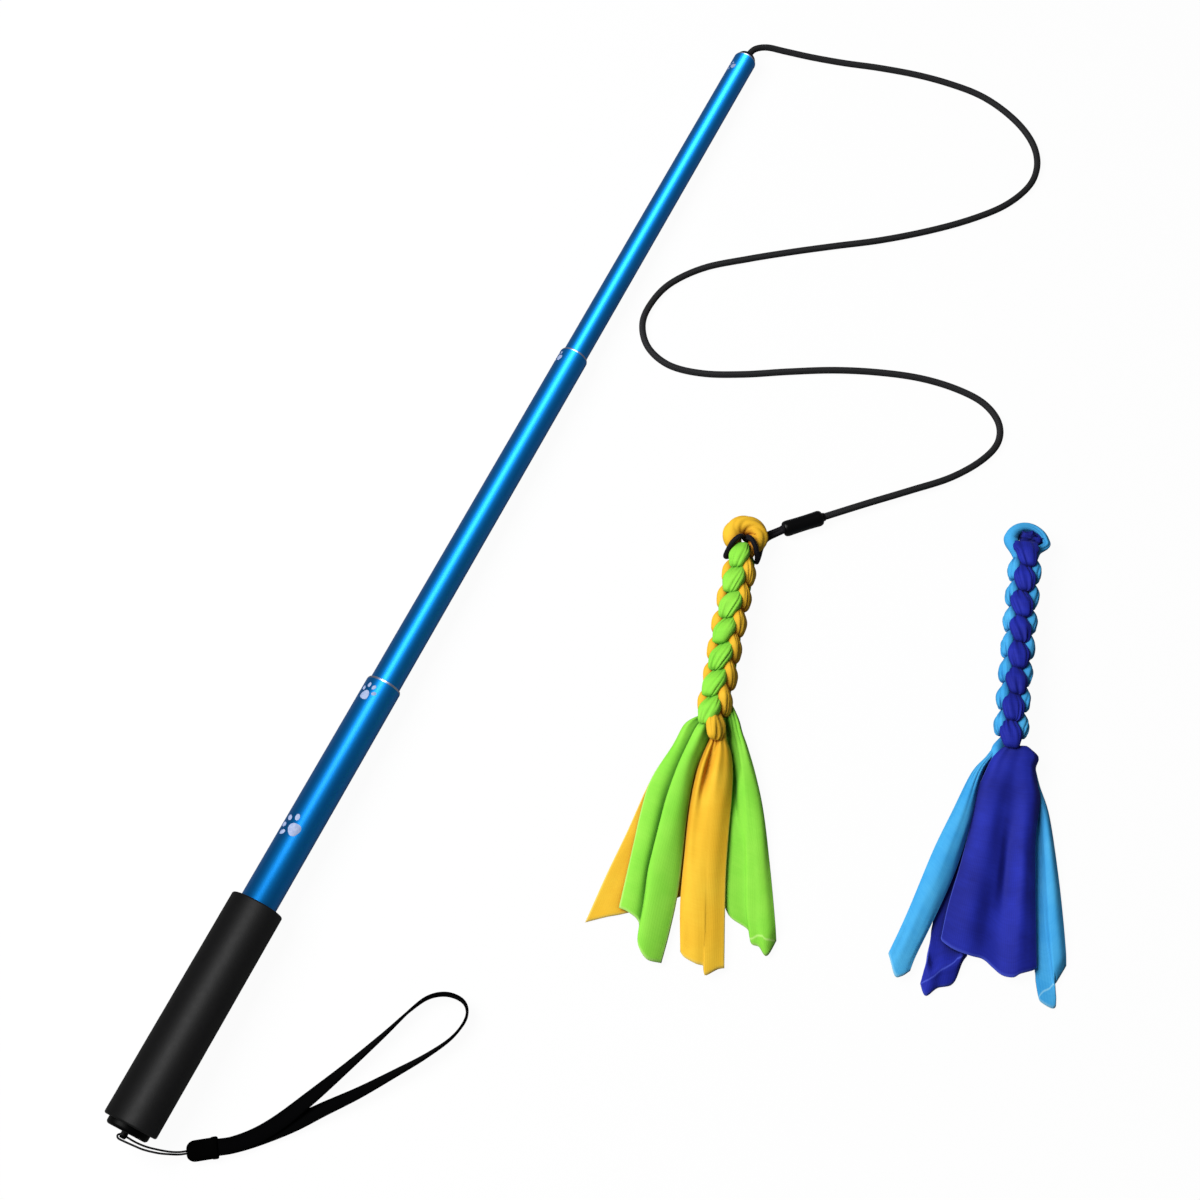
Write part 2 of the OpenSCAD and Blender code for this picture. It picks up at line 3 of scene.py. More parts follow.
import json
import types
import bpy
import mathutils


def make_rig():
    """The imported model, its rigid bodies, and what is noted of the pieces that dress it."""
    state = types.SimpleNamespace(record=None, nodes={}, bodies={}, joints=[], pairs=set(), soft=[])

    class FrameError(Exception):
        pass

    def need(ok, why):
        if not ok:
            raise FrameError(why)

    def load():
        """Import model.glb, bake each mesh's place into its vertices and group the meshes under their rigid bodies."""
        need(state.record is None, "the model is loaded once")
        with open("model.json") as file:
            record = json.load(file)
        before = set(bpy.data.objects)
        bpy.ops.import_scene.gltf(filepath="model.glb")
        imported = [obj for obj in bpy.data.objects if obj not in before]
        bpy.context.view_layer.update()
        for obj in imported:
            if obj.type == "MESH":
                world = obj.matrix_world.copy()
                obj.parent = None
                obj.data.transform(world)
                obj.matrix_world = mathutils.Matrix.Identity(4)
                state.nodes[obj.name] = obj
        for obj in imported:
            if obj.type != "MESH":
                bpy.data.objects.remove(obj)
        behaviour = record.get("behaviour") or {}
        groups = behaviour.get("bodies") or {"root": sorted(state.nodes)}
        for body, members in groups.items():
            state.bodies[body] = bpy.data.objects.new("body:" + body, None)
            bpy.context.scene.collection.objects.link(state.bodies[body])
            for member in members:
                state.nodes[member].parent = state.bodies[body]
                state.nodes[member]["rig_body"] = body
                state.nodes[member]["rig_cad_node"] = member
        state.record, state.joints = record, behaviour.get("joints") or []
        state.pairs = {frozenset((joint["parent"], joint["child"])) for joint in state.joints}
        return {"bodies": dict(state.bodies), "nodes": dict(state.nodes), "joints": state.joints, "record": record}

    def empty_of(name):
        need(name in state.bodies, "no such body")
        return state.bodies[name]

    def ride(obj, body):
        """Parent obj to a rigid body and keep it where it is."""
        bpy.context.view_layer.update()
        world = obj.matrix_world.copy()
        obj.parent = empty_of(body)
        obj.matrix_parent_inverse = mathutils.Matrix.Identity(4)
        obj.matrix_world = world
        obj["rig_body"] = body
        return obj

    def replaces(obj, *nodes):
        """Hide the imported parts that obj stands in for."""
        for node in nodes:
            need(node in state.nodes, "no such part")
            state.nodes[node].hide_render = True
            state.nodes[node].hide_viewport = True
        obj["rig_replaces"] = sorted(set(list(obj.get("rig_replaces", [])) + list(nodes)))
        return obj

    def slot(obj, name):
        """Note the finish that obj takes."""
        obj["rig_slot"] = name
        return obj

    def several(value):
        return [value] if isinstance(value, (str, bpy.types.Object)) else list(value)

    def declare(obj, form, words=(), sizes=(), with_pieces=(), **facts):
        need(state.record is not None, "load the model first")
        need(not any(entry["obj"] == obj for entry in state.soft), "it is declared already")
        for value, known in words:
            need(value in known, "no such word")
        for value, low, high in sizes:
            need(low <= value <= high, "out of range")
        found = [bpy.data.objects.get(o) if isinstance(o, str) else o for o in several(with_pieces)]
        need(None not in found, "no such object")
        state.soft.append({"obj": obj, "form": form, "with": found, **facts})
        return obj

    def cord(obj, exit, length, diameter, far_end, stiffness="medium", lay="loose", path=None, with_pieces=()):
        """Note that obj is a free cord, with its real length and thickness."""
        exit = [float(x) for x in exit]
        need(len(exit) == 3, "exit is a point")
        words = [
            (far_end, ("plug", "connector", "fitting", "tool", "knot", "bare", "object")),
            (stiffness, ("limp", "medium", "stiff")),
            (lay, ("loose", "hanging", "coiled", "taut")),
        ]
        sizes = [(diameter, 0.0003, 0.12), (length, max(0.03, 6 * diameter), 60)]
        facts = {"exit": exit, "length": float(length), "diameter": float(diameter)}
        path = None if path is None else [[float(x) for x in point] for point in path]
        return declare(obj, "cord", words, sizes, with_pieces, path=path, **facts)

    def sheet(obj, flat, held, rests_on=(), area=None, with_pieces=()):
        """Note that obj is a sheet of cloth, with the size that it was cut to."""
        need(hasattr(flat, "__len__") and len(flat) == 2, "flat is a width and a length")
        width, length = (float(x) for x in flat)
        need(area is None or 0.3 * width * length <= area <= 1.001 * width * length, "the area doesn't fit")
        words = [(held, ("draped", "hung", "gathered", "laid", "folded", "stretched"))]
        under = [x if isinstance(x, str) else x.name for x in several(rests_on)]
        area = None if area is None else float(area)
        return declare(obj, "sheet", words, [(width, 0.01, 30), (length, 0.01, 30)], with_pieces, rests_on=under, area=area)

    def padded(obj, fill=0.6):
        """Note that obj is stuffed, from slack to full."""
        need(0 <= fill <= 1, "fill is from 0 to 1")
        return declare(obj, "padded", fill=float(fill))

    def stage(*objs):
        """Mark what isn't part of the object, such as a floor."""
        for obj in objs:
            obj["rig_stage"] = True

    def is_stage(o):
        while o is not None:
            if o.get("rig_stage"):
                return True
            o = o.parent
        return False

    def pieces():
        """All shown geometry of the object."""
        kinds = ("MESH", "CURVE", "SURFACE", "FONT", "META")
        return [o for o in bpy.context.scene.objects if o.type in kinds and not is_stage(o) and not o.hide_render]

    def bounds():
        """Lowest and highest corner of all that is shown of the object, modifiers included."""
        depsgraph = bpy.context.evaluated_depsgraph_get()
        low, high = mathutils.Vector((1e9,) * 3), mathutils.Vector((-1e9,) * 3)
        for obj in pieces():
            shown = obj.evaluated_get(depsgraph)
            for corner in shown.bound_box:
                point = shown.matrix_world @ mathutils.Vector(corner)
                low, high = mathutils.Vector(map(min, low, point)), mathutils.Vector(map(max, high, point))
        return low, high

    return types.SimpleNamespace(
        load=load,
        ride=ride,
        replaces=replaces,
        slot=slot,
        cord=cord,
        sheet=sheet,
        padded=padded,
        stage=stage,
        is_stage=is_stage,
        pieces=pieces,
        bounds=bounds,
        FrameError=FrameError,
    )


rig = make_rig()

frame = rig.load()

import bisect
import functools
import itertools
import json
import logging
import math
import random
from dataclasses import dataclass, field
from enum import Enum
from typing import Any, Sequence

import bmesh
import bpy
from mathutils import Matrix, Vector, noise

CAD_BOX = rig.bounds()
SIZE_FILE = "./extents.json"
LOG = logging.getLogger("flirt_pole")
MM = 0.001
UP = Vector((0.0, 0.0, 1.0))
AHEAD = Vector((0.0, 1.0, 0.0))
Pair = tuple[float, float]
Triple = tuple[float, float, float]
Colour = tuple[float, float, float, float]
Piece = bpy.types.Object
Socket = bpy.types.NodeSocket
Material = bpy.types.Material
WHITE: Colour = (1.0, 1.0, 1.0, 1.0)


def screen(red: int, green: int, blue: int) -> Colour:
    """Turns a colour as a screen shows it into a shader's own values.

    Args:
        red, green, blue: levels from 0 to 255.

    Returns:
        The colour in linear light.
    """
    def linear(value: int) -> float:
        """One channel in linear light."""
        share = value / 255
        return share / 12.92 if share <= 0.04045 else ((share + 0.055) / 1.055) ** 2.4

    return (linear(red), linear(green), linear(blue), 1.0)


def ease(share: float) -> float:
    """Smooth step from 0 to 1."""
    share = min(max(share, 0.0), 1.0)
    return share * share * (3 - 2 * share)


def turned(point: Pair, degrees: float) -> Pair:
    """A point on the floor turned about the origin."""
    cos, sin = math.cos(math.radians(degrees)), math.sin(math.radians(degrees))
    return (point[0] * cos - point[1] * sin, point[0] * sin + point[1] * cos)


class Value:
    """A shader socket that takes part in Python arithmetic by adding Math nodes."""

    def __init__(self, paint: "Paint", socket: Socket) -> None:
        """Keeps the socket and the paint that it belongs to."""
        self.paint = paint
        self.socket = socket

    def __add__(self, other: "Value | float") -> "Value":
        """Sum."""
        return self.paint.maths("ADD", self, other)

    __radd__ = __add__

    def __sub__(self, other: "Value | float") -> "Value":
        """Difference."""
        return self.paint.maths("SUBTRACT", self, other)

    def __rsub__(self, other: float) -> "Value":
        """Difference from a number."""
        return self.paint.maths("SUBTRACT", other, self)

    def __mul__(self, other: "Value | float") -> "Value":
        """Product."""
        return self.paint.maths("MULTIPLY", self, other)

    __rmul__ = __mul__

    def __truediv__(self, other: "Value | float") -> "Value":
        """Quotient."""
        return self.paint.maths("DIVIDE", self, other)

    def __rtruediv__(self, other: float) -> "Value":
        """Quotient of a number."""
        return self.paint.maths("DIVIDE", other, self)

    def __mod__(self, other: "Value | float") -> "Value":
        """Remainder, never below 0."""
        return self.paint.maths("FLOORED_MODULO", self, other)

    def __pow__(self, other: "Value | float") -> "Value":
        """Power."""
        return self.paint.maths("POWER", self, other)

    def __gt__(self, other: "Value | float") -> "Value":
        """1 where this is the greater, and 0 elsewhere."""
        return self.paint.maths("GREATER_THAN", self, other)

    def __abs__(self) -> "Value":
        """Size without the sign."""
        return self.paint.maths("ABSOLUTE", self)

    def sine(self) -> "Value":
        """Sine of an angle in radians."""
        return self.paint.maths("SINE", self)

    def floor(self) -> "Value":
        """Whole number at or below."""
        return self.paint.maths("FLOOR", self)

    def larger(self, other: "Value | float") -> "Value":
        """The larger of two."""
        return self.paint.maths("MAXIMUM", self, other)


class Paint:
    """A node tree in the making, with one method for every kind of node."""

    def __init__(self, owner: bpy.types.ID) -> None:
        """Clears the nodes.

        Args:
            owner: a material or a world.
        """
        owner.use_nodes = True
        self.owner = owner
        self.tree = owner.node_tree
        self.tree.nodes.clear()

    @classmethod
    def material(cls, name: str) -> "Paint":
        """A paint for a new material."""
        return cls(bpy.data.materials.new(name))

    def node(self, kind: str, settings: dict[str, Any] | None = None,
             sockets: dict[str | int, Any] | None = None) -> bpy.types.Node:
        """Adds a node.

        Args:
            kind: the node's type.
            settings: its properties, set before its sockets.
            sockets: values or links of its inputs, by name or number.

        Returns:
            The node.
        """
        node = self.tree.nodes.new(kind)
        for name, value in (settings or {}).items():
            setattr(node, name, value)
        for key, value in (sockets or {}).items():
            if isinstance(value, Value):
                self.tree.links.new(value.socket, node.inputs[key])
            elif isinstance(value, Socket):
                self.tree.links.new(value, node.inputs[key])
            else:
                node.inputs[key].default_value = value
        return node

    def maths(self, operation: str, *operands: Value | float) -> Value:
        """A Math node on one or two operands."""
        node = self.node("ShaderNodeMath", {"operation": operation}, dict(enumerate(operands)))
        return Value(self, node.outputs[0])

    def place(self, kind: str) -> Socket:
        """Texture coordinates of one kind, such as Object or UV."""
        return self.node("ShaderNodeTexCoord").outputs[kind]

    def parts(self, vector: Socket) -> tuple[Value, Value, Value]:
        """The three parts of a vector."""
        node = self.node("ShaderNodeSeparateXYZ", None, {0: vector})
        return tuple(Value(self, socket) for socket in node.outputs)

    def stretched(self, vector: Socket, by: Triple) -> Socket:
        """A vector multiplied part by part."""
        return self.node("ShaderNodeVectorMath", {"operation": "MULTIPLY"}, {0: vector, 1: by}).outputs[0]

    def dot(self, vector: Socket, way: Sequence[float]) -> Value:
        """How far a vector reaches along a way."""
        node = self.node("ShaderNodeVectorMath", {"operation": "DOT_PRODUCT"}, {0: vector, 1: tuple(way)})
        return Value(self, node.outputs["Value"])

    def cloud(self, vector: Socket, scale: float, detail: float = 3.0) -> Value:
        """Soft noise from 0 to 1."""
        sockets = {"Vector": vector, "Scale": scale, "Detail": detail}
        return Value(self, self.node("ShaderNodeTexNoise", None, sockets).outputs[0])

    def cells(self, vector: Socket, scale: float) -> Value:
        """Distance to the nearest of many scattered points."""
        node = self.node("ShaderNodeTexVoronoi", None, {"Vector": vector, "Scale": scale})
        return Value(self, node.outputs[0])

    def mix(self, share: Value | float, low: Any, high: Any) -> Socket:
        """Mix of two colours."""
        node = self.node("ShaderNodeMix", {"data_type": "RGBA"}, {0: share, 6: low, 7: high})
        return node.outputs[2]

    def hollows(self, reach: float) -> Value:
        """1 on open surfaces, falling to 0 in narrow gaps."""
        node = self.node("ShaderNodeAmbientOcclusion", {"samples": 8}, {"Distance": reach})
        return Value(self, node.outputs["AO"])

    def mark(self, name: str) -> Value:
        """A number that the mesh keeps at its points, and 0 on a mesh without it."""
        return Value(self, self.node("ShaderNodeAttribute", {"attribute_name": name}).outputs["Fac"])

    def relief(self, height: Value, depth: float, strength: float = 1.0) -> Socket:
        """A normal bent by a height, in metres where the height is 1."""
        sockets = {"Height": height, "Distance": depth, "Strength": strength}
        return self.node("ShaderNodeBump", None, sockets).outputs[0]

    def surface(self, **sockets: Any) -> Material:
        """Ends a material with a shader.

        Args:
            sockets: the shader's inputs, with _ for a space in their names.

        Returns:
            The material.
        """
        named = {key.replace("_", " "): value for key, value in sockets.items()}
        shader = self.node("ShaderNodeBsdfPrincipled", None, named)
        return self.close(shader)

    def blend(self, share: Value, low: bpy.types.Node, high: bpy.types.Node) -> bpy.types.ID:
        """Ends a material or world with a mix of two shaders."""
        sockets = {0: share, 1: low.outputs[0], 2: high.outputs[0]}
        return self.close(self.node("ShaderNodeMixShader", None, sockets))

    def close(self, shader: bpy.types.Node) -> bpy.types.ID:
        """Links a shader to the output.

        Args:
            shader: the last one.

        Returns:
            The material or world.
        """
        kind = "World" if isinstance(self.owner, bpy.types.World) else "Material"
        self.node(f"ShaderNodeOutput{kind}", None, {"Surface": shader.outputs[0]})
        return self.owner


@dataclass(frozen=True)
class Finish:
    """What a piece's surface is made of."""

    name: str

    @property
    def material(self) -> Material:
        """The finish as a material."""
        raise NotImplementedError


@dataclass(frozen=True)
class AnodisedFinish(Finish):
    """Dyed and polished tube with fine drawn lines and a bare edge at its mouth."""

    mouth: float
    way: Triple
    bare_length: float = 1.5 * MM
    dye: Colour = screen(13, 126, 202)
    deep: Colour = screen(9, 111, 190)
    bare: Colour = screen(150, 158, 184)

    @functools.cached_property
    def material(self) -> Material:
        """The finish as a material."""
        paint = Paint.material(self.name)
        spot = paint.place("Object")
        drawn = paint.cloud(paint.stretched(spot, (2600.0, 5.0, 2600.0)), 1.0, 2.0)
        tint = paint.cloud(spot, 14.0, 2.0)
        edge = paint.dot(spot, self.way) > self.mouth - self.bare_length
        dyed = paint.mix(tint * 0.6 + drawn * 0.4, self.deep, self.dye)
        return paint.surface(
            Base_Color=paint.mix(edge, dyed, self.bare), Metallic=1.0,
            Roughness=0.42 + drawn * 0.08 - edge * 0.1, Coat_Weight=0.12, Coat_Roughness=0.3,
            Normal=paint.relief(drawn, 0.004 * MM, 0.3))


@dataclass(frozen=True)
class FoamFinish(Finish):
    """Closed-cell foam with fine pores."""

    light: Colour = screen(12, 12, 13)
    dark: Colour = screen(5, 5, 5)

    @functools.cached_property
    def material(self) -> Material:
        """The finish as a material."""
        paint = Paint.material(self.name)
        spot = paint.place("Object")
        pore = paint.cells(spot, 1900.0)
        mottle = paint.cloud(spot, 320.0, 4.0)
        grain = pore * 0.6 + mottle * 0.4
        return paint.surface(
            Base_Color=paint.mix(grain, self.dark, self.light), Roughness=0.52 + mottle * 0.1,
            Specular_IOR_Level=0.18, Normal=paint.relief(grain, 0.09 * MM, 0.6))


@dataclass(frozen=True)
class MouldedFinish(Finish):
    """Moulded black plastic or rubber with a fine grain."""

    colour: Colour
    rub: Colour
    roughness: float
    gloss: float
    grain: float = 900.0

    @functools.cached_property
    def material(self) -> Material:
        """The finish as a material."""
        paint = Paint.material(self.name)
        spot = paint.place("Object")
        fine = paint.cloud(spot, self.grain, 3.0)
        worn = paint.cloud(spot, 90.0, 2.0)
        return paint.surface(
            Base_Color=paint.mix(worn * worn, self.colour, self.rub),
            Roughness=self.roughness + 0.12 * fine, Specular_IOR_Level=self.gloss,
            Normal=paint.relief(fine, 0.05 * MM, 0.5))


@dataclass(frozen=True)
class SpringFinish(Finish):
    """Plain rolled strip of a friction bush."""

    colour: Colour = screen(186, 142, 92)
    dull: Colour = screen(150, 112, 74)

    @functools.cached_property
    def material(self) -> Material:
        """The finish as a material."""
        paint = Paint.material(self.name)
        rolled = paint.cloud(paint.stretched(paint.place("Object"), (900.0, 20.0, 900.0)), 1.0)
        return paint.surface(
            Base_Color=paint.mix(rolled, self.dull, self.colour), Metallic=1.0, Roughness=0.3 + rolled * 0.2)


@dataclass(frozen=True)
class SheathFinish(Finish):
    """Braided sheath, with strands that pass over and under each other round the cord."""

    turn: float
    strands: float = 6.0
    light: Colour = screen(44, 44, 46)
    dark: Colour = screen(7, 7, 8)

    @functools.cached_property
    def material(self) -> Material:
        """The finish as a material."""
        paint = Paint.material(self.name)
        around, along, _ = paint.parts(paint.place("UV"))
        slant = along * (self.strands / self.turn)
        left = around * self.strands + slant
        right = around * self.strands - slant
        over = (left.floor() + right.floor()) % 2.0
        crown = over * abs((left * math.pi).sine()) + (1 - over) * abs((right * math.pi).sine())
        fuzz = paint.cloud(paint.place("Object"), 1500.0, 2.0)
        # The colour is lighter on the strands' crowns and darker in the grooves between them, which is painted shade;
        # the fuzz adds random tone.
        return paint.surface(
            Base_Color=paint.mix(crown * 0.75 + fuzz * 0.25, self.dark, self.light),
            Roughness=0.6 + fuzz * 0.2, Specular_IOR_Level=0.2, Sheen_Weight=0.03,
            Normal=paint.relief(crown + fuzz * 0.3, 0.16 * MM, 0.8))


@dataclass(frozen=True)
class WebbingFinish(Finish):
    """Woven webbing: ribs of a herringbone weave between firm edges."""

    rib: float = 1.1 * MM
    ends: float = 24.0
    light: Colour = screen(4, 4, 5)
    dark: Colour = screen(2, 2, 2)

    @functools.cached_property
    def material(self) -> Material:
        """The finish as a material."""
        paint = Paint.material(self.name)
        around, along, _ = paint.parts(paint.place("UV"))
        lane = around * self.ends
        lean = abs((lane * 0.5) % 2.0 - 1)
        pick = abs(((along / self.rib + lean) * math.pi).sine())
        warp = abs((lane * math.pi).sine())
        weave = pick * 0.6 + warp * 0.4
        fuzz = paint.cloud(paint.place("Object"), 1200.0, 2.0)
        # The colour is lighter on the ribs and darker between them, which is painted shade; the fuzz adds random tone.
        return paint.surface(
            Base_Color=paint.mix(weave * 0.8 + fuzz * 0.2, self.dark, self.light),
            Roughness=0.7 + fuzz * 0.15, Specular_IOR_Level=0.01, Sheen_Weight=0.01,
            Normal=paint.relief(weave + fuzz * 0.2, 0.14 * MM, 0.8))


@dataclass(frozen=True)
class ClothFinish(Finish):
    """Smooth stretch cloth: columns of tiny loops and a soft sheen, with painted shade in its folds and between
    pieces, and a painted highlight along its cut and turned edges.
    """

    dye: Colour
    deep: Colour
    shade: Colour
    edge_highlight: Colour
    edge_highlight_share: float = 0.7
    edge_highlight_width: float = 0.8 * MM
    wale: float = 0.7 * MM
    course: float = 0.6 * MM
    shade_reach: float = 8 * MM

    @functools.cached_property
    def material(self) -> Material:
        """The finish as a material."""
        paint = Paint.material(self.name)
        lay = paint.place("UV")
        across, along, _ = paint.parts(lay)
        slub = paint.cloud(paint.stretched(lay, (70.0, 900.0, 1.0)), 1.0, 2.0)
        column = abs((across * (math.pi / self.wale)).sine())
        loop = abs((along * (math.pi / self.course) + column * 0.9).sine())
        knit = column * 0.55 + loop * 0.45
        spot = paint.place("Object")
        cloudy = paint.cloud(spot, 46.0, 3.0)
        fuzz = paint.cloud(spot, 1400.0, 2.0)
        # The tone is partly random (cloud, slub, fuzz) and partly painted shade in the gaps between the knit's loops.
        tone = paint.mix(knit * 0.2 + (cloudy - 0.3) + slub * 0.3 + fuzz * 0.1, self.deep, self.dye)
        # Painted shade: ambient occlusion pulls the colour towards the shade colour in folds, creases and the gaps
        # between pieces.
        folded = paint.mix(paint.hollows(self.shade_reach) ** 1.2, self.shade, tone)
        # Painted highlight: a pale line along the cut edges and along a tail's turned edge, where the cut and turn
        # marks are.
        highlight_line = 1 - abs(paint.mark("turn") - 1) * (1 / self.edge_highlight_width)
        return paint.surface(
            Base_Color=paint.mix(paint.mark("cut").larger(highlight_line) * self.edge_highlight_share, folded, self.edge_highlight),
            Roughness=0.62 + fuzz * 0.2, Specular_IOR_Level=0.22, Sheen_Weight=0.05, Sheen_Roughness=0.4,
            Normal=paint.relief(knit + fuzz * 0.3, 0.07 * MM, 0.7))


@dataclass(frozen=True)
class PrintFinish(Finish):
    """Pale print on the tubes, thin enough to show a little wear."""

    pale: Colour = screen(178, 186, 210)
    worn: Colour = screen(104, 132, 184)

    @functools.cached_property
    def material(self) -> Material:
        """The finish as a material."""
        paint = Paint.material(self.name)
        wear = paint.cloud(paint.place("Object"), 700.0, 4.0)
        return paint.surface(
            Base_Color=paint.mix(wear, self.pale, self.worn), Roughness=0.4 + wear * 0.2,
            Specular_IOR_Level=0.4)


PLASTIC = MouldedFinish("satin_black_plastic", screen(2, 2, 2), screen(5, 5, 6), 0.36, 0.05)
RUBBER = MouldedFinish("soft_black_rubber", screen(2, 2, 3), screen(5, 5, 6), 0.26, 0.16)
FERRULE = MouldedFinish("matt_black_ferrule", screen(1, 1, 1), screen(3, 3, 3), 0.7, 0.01)
SHEATH = SheathFinish("elastic_cord_sheath", 9 * MM)
NOOSE_SHEATH = SheathFinish("noose_sheath", 7 * MM, light=screen(16, 12, 22), dark=screen(4, 3, 6))
STRING_SHEATH = SheathFinish("strap_string_sheath", 3 * MM, 4.0, screen(18, 18, 20))
WEBBING = WebbingFinish("black_webbing")
PRINT = PrintFinish("paw_print")
# Each cloth's colours: dye, deeper tone, painted shade for its folds, and a painted highlight for its cut and turned
# edges.
GREEN = ClothFinish("cloth_lime_green", screen(160, 236, 80), screen(118, 214, 50), screen(28, 108, 14),
                    screen(204, 250, 140))
YELLOW = ClothFinish("cloth_golden_yellow", screen(250, 206, 58), screen(237, 174, 26), screen(176, 92, 6),
                     screen(252, 226, 120))
LIGHT_BLUE = ClothFinish("cloth_sky_blue", screen(92, 198, 250), screen(26, 148, 226), screen(14, 82, 146),
                         screen(160, 226, 252))
DARK_BLUE = ClothFinish("cloth_royal_blue", screen(39, 54, 196), screen(8, 13, 108), screen(3, 4, 44),
                        screen(86, 104, 226))


class Form:
    """Points, faces and texture places of one piece, gathered before its mesh is made.

    A sheet of cloth thins to a share of its thickness at its rim, and the mark of its cut edge, which gets a
    painted highlight, fades over its first columns.
    """

    RIM_SHARE = 0.55
    HIGHLIGHT_FADE = (1.0, 0.6, 0.0)

    def __init__(self) -> None:
        """Starts with nothing."""
        self.points: list[Vector] = []
        self.faces: list[tuple[int, ...]] = []
        self.places: list[Pair] = []
        self.marks: dict[str, dict[int, float]] = {}

    def grid(self, rows: Sequence[Sequence[Vector]], ring: bool = False, loop: bool = False,
             across: Sequence[float] | None = None, along: Sequence[float] | None = None) -> int:
        """Adds faces between rows of points.

        Args:
            rows: rows with the same number of points.
            ring: whether the last point of a row joins the first.
            loop: whether the last row joins the first.
            across: texture place of each column, and of the closing one.
            along: texture place of each row, and of the closing one.

        Returns:
            The number of the first point.
        """
        first, count = len(self.points), len(rows[0])
        across = across or [column / count for column in range(count + 1)]
        along = along or [row / len(rows) for row in range(len(rows) + 1)]
        for row in rows:
            self.points.extend(row)
        for i in range(len(rows) - (0 if loop else 1)):
            for j in range(count - (0 if ring else 1)):
                corners = ((i, j), (i, j + 1), (i + 1, j + 1), (i + 1, j))
                self.faces.append(tuple(first + a % len(rows) * count + b % count for a, b in corners))
                self.places.extend((across[b], along[a]) for a, b in corners)
        return first

    def cap(self, first: int, count: int, along: float = 0.0) -> None:
        """Closes a ring of points with a fan.

        Args:
            first: number of the ring's first point.
            count: points in the ring.
            along: texture place of the ring.
        """
        self.points.append(sum(self.points[first:first + count], Vector()) / count)
        for k in range(count):
            self.faces.append((first + k, first + (k + 1) % count, len(self.points) - 1))
            self.places.extend(((k / count, along), ((k + 1) / count, along), ((k + 0.5) / count, along)))

    def barrel(self, rings: Sequence[Sequence[Vector]], across: Sequence[float] | None = None,
               along: Sequence[float] | None = None, end: float = 0.0) -> None:
        """Adds faces between rings of points and closes both ends.

        Args:
            rings: with the same number of points.
            across: texture place of each column, and of the closing one.
            along: texture place of each ring.
            end: texture place of the last cap.
        """
        first, count = self.grid(rings, ring=True, across=across, along=along), len(rings[0])
        self.cap(first, count)
        self.cap(first + count * (len(rings) - 1), count, end)

    def cloth(self, rows: Sequence[Sequence[Vector]], thickness: float,
              across: Sequence[float], along: Sequence[float], highlight_line: Sequence[float] = ()) -> None:
        """Adds a closed sheet of cloth about a surface of points, and marks its cut edges for a painted highlight.

        Args:
            rows: points of the sheet's middle surface.
            thickness: of the cloth, in metres.
            across: texture place of each column.
            along: texture place of each row.
            highlight_line: texture place along, at each column, of a turned edge across the sheet that gets a painted
                highlight, if it has one.
        """
        height, width = len(rows), len(rows[0])

        def lifted(side: float) -> list[list[Vector]]:
            """Lifts the points off the middle surface.

            Args:
                side: 1 for one face of the cloth and -1 for the other.

            Returns:
                The points of that face.
            """
            face = []
            for i, row in enumerate(rows):
                above, below = rows[max(i - 1, 0)], rows[min(i + 1, height - 1)]
                line = []
                for j, point in enumerate(row):
                    run = row[min(j + 1, width - 1)] - row[max(j - 1, 0)]
                    normal = run.cross(above[j] - below[j]).normalized()
                    rim = self.RIM_SHARE if i in (0, height - 1) or j in (0, width - 1) else 1.0
                    line.append(point + normal * (side * rim * thickness / 2))
                face.append(line)
            return face

        top = self.grid(lifted(1.0), across=across, along=along)
        low = self.grid(lifted(-1.0), across=across, along=along)
        # The cut and turn marks place the painted highlight: 1 on the cut edges, fading inwards, and 1 at the turned
        # edge.
        for first, i, j in itertools.product((top, low), range(height), range(width)):
            number = first + i * width + j
            side = self.HIGHLIGHT_FADE[min(j, width - 1 - j, len(self.HIGHLIGHT_FADE) - 1)]
            self.marks.setdefault("cut", {})[number] = 1.0 if i == height - 1 else side
            if highlight_line:
                self.marks.setdefault("turn", {})[number] = 1.0 + along[i] - highlight_line[j]
        edge = [(0, j) for j in range(width)]
        edge += [(i, width - 1) for i in range(1, height)]
        edge += [(height - 1, j) for j in range(width - 2, -1, -1)]
        edge += [(i, 0) for i in range(height - 2, 0, -1)]
        for here, there in zip(edge, edge[1:] + edge[:1]):
            a, b = here[0] * width + here[1], there[0] * width + there[1]
            self.faces.append((top + a, top + b, low + b, low + a))
            self.places.extend((across[j], along[i]) for i, j in (here, there, there, here))

    def piece(self, name: str, finish: Finish, sharp: float | None = None) -> Piece:
        """Makes the piece.

        Args:
            name: of the piece.
            finish: of its surface.
            sharp: angle in degrees from which an edge stays crisp.

        Returns:
            The piece, linked to the scene.
        """
        mesh = bpy.data.meshes.new(name)
        mesh.from_pydata(self.points, [], self.faces)
        layer = mesh.uv_layers.new(name="lay")
        layer.data.foreach_set("uv", [part for place in self.places for part in place])
        for mark, values in self.marks.items():
            kept = mesh.attributes.new(mark, "FLOAT", "POINT")
            kept.data.foreach_set("value", [values.get(k, 0.0) for k in range(len(self.points))])
        body = bmesh.new()
        body.from_mesh(mesh)
        bmesh.ops.recalc_face_normals(body, faces=body.faces)
        body.to_mesh(mesh)
        body.free()
        mesh.shade_smooth()
        if sharp is not None:
            mesh.set_sharp_from_angle(angle=math.radians(sharp))
        mesh.materials.append(finish.material)
        piece = bpy.data.objects.new(name, mesh)
        bpy.context.scene.collection.objects.link(piece)
        return piece


def settle(piece: Piece, body: str, slot: str, *nodes: str) -> Piece:
    """Puts a piece on its body, and reports it.

    Args:
        piece: that is placed.
        body: that it rides on.
        slot: its material slot.
        nodes: solids that it stands for.

    Returns:
        The piece.
    """
    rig.ride(piece, body)
    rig.slot(piece, slot)
    if nodes:
        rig.replaces(piece, *nodes)
    LOG.info("%s rides on %s", piece.name, body)
    return piece


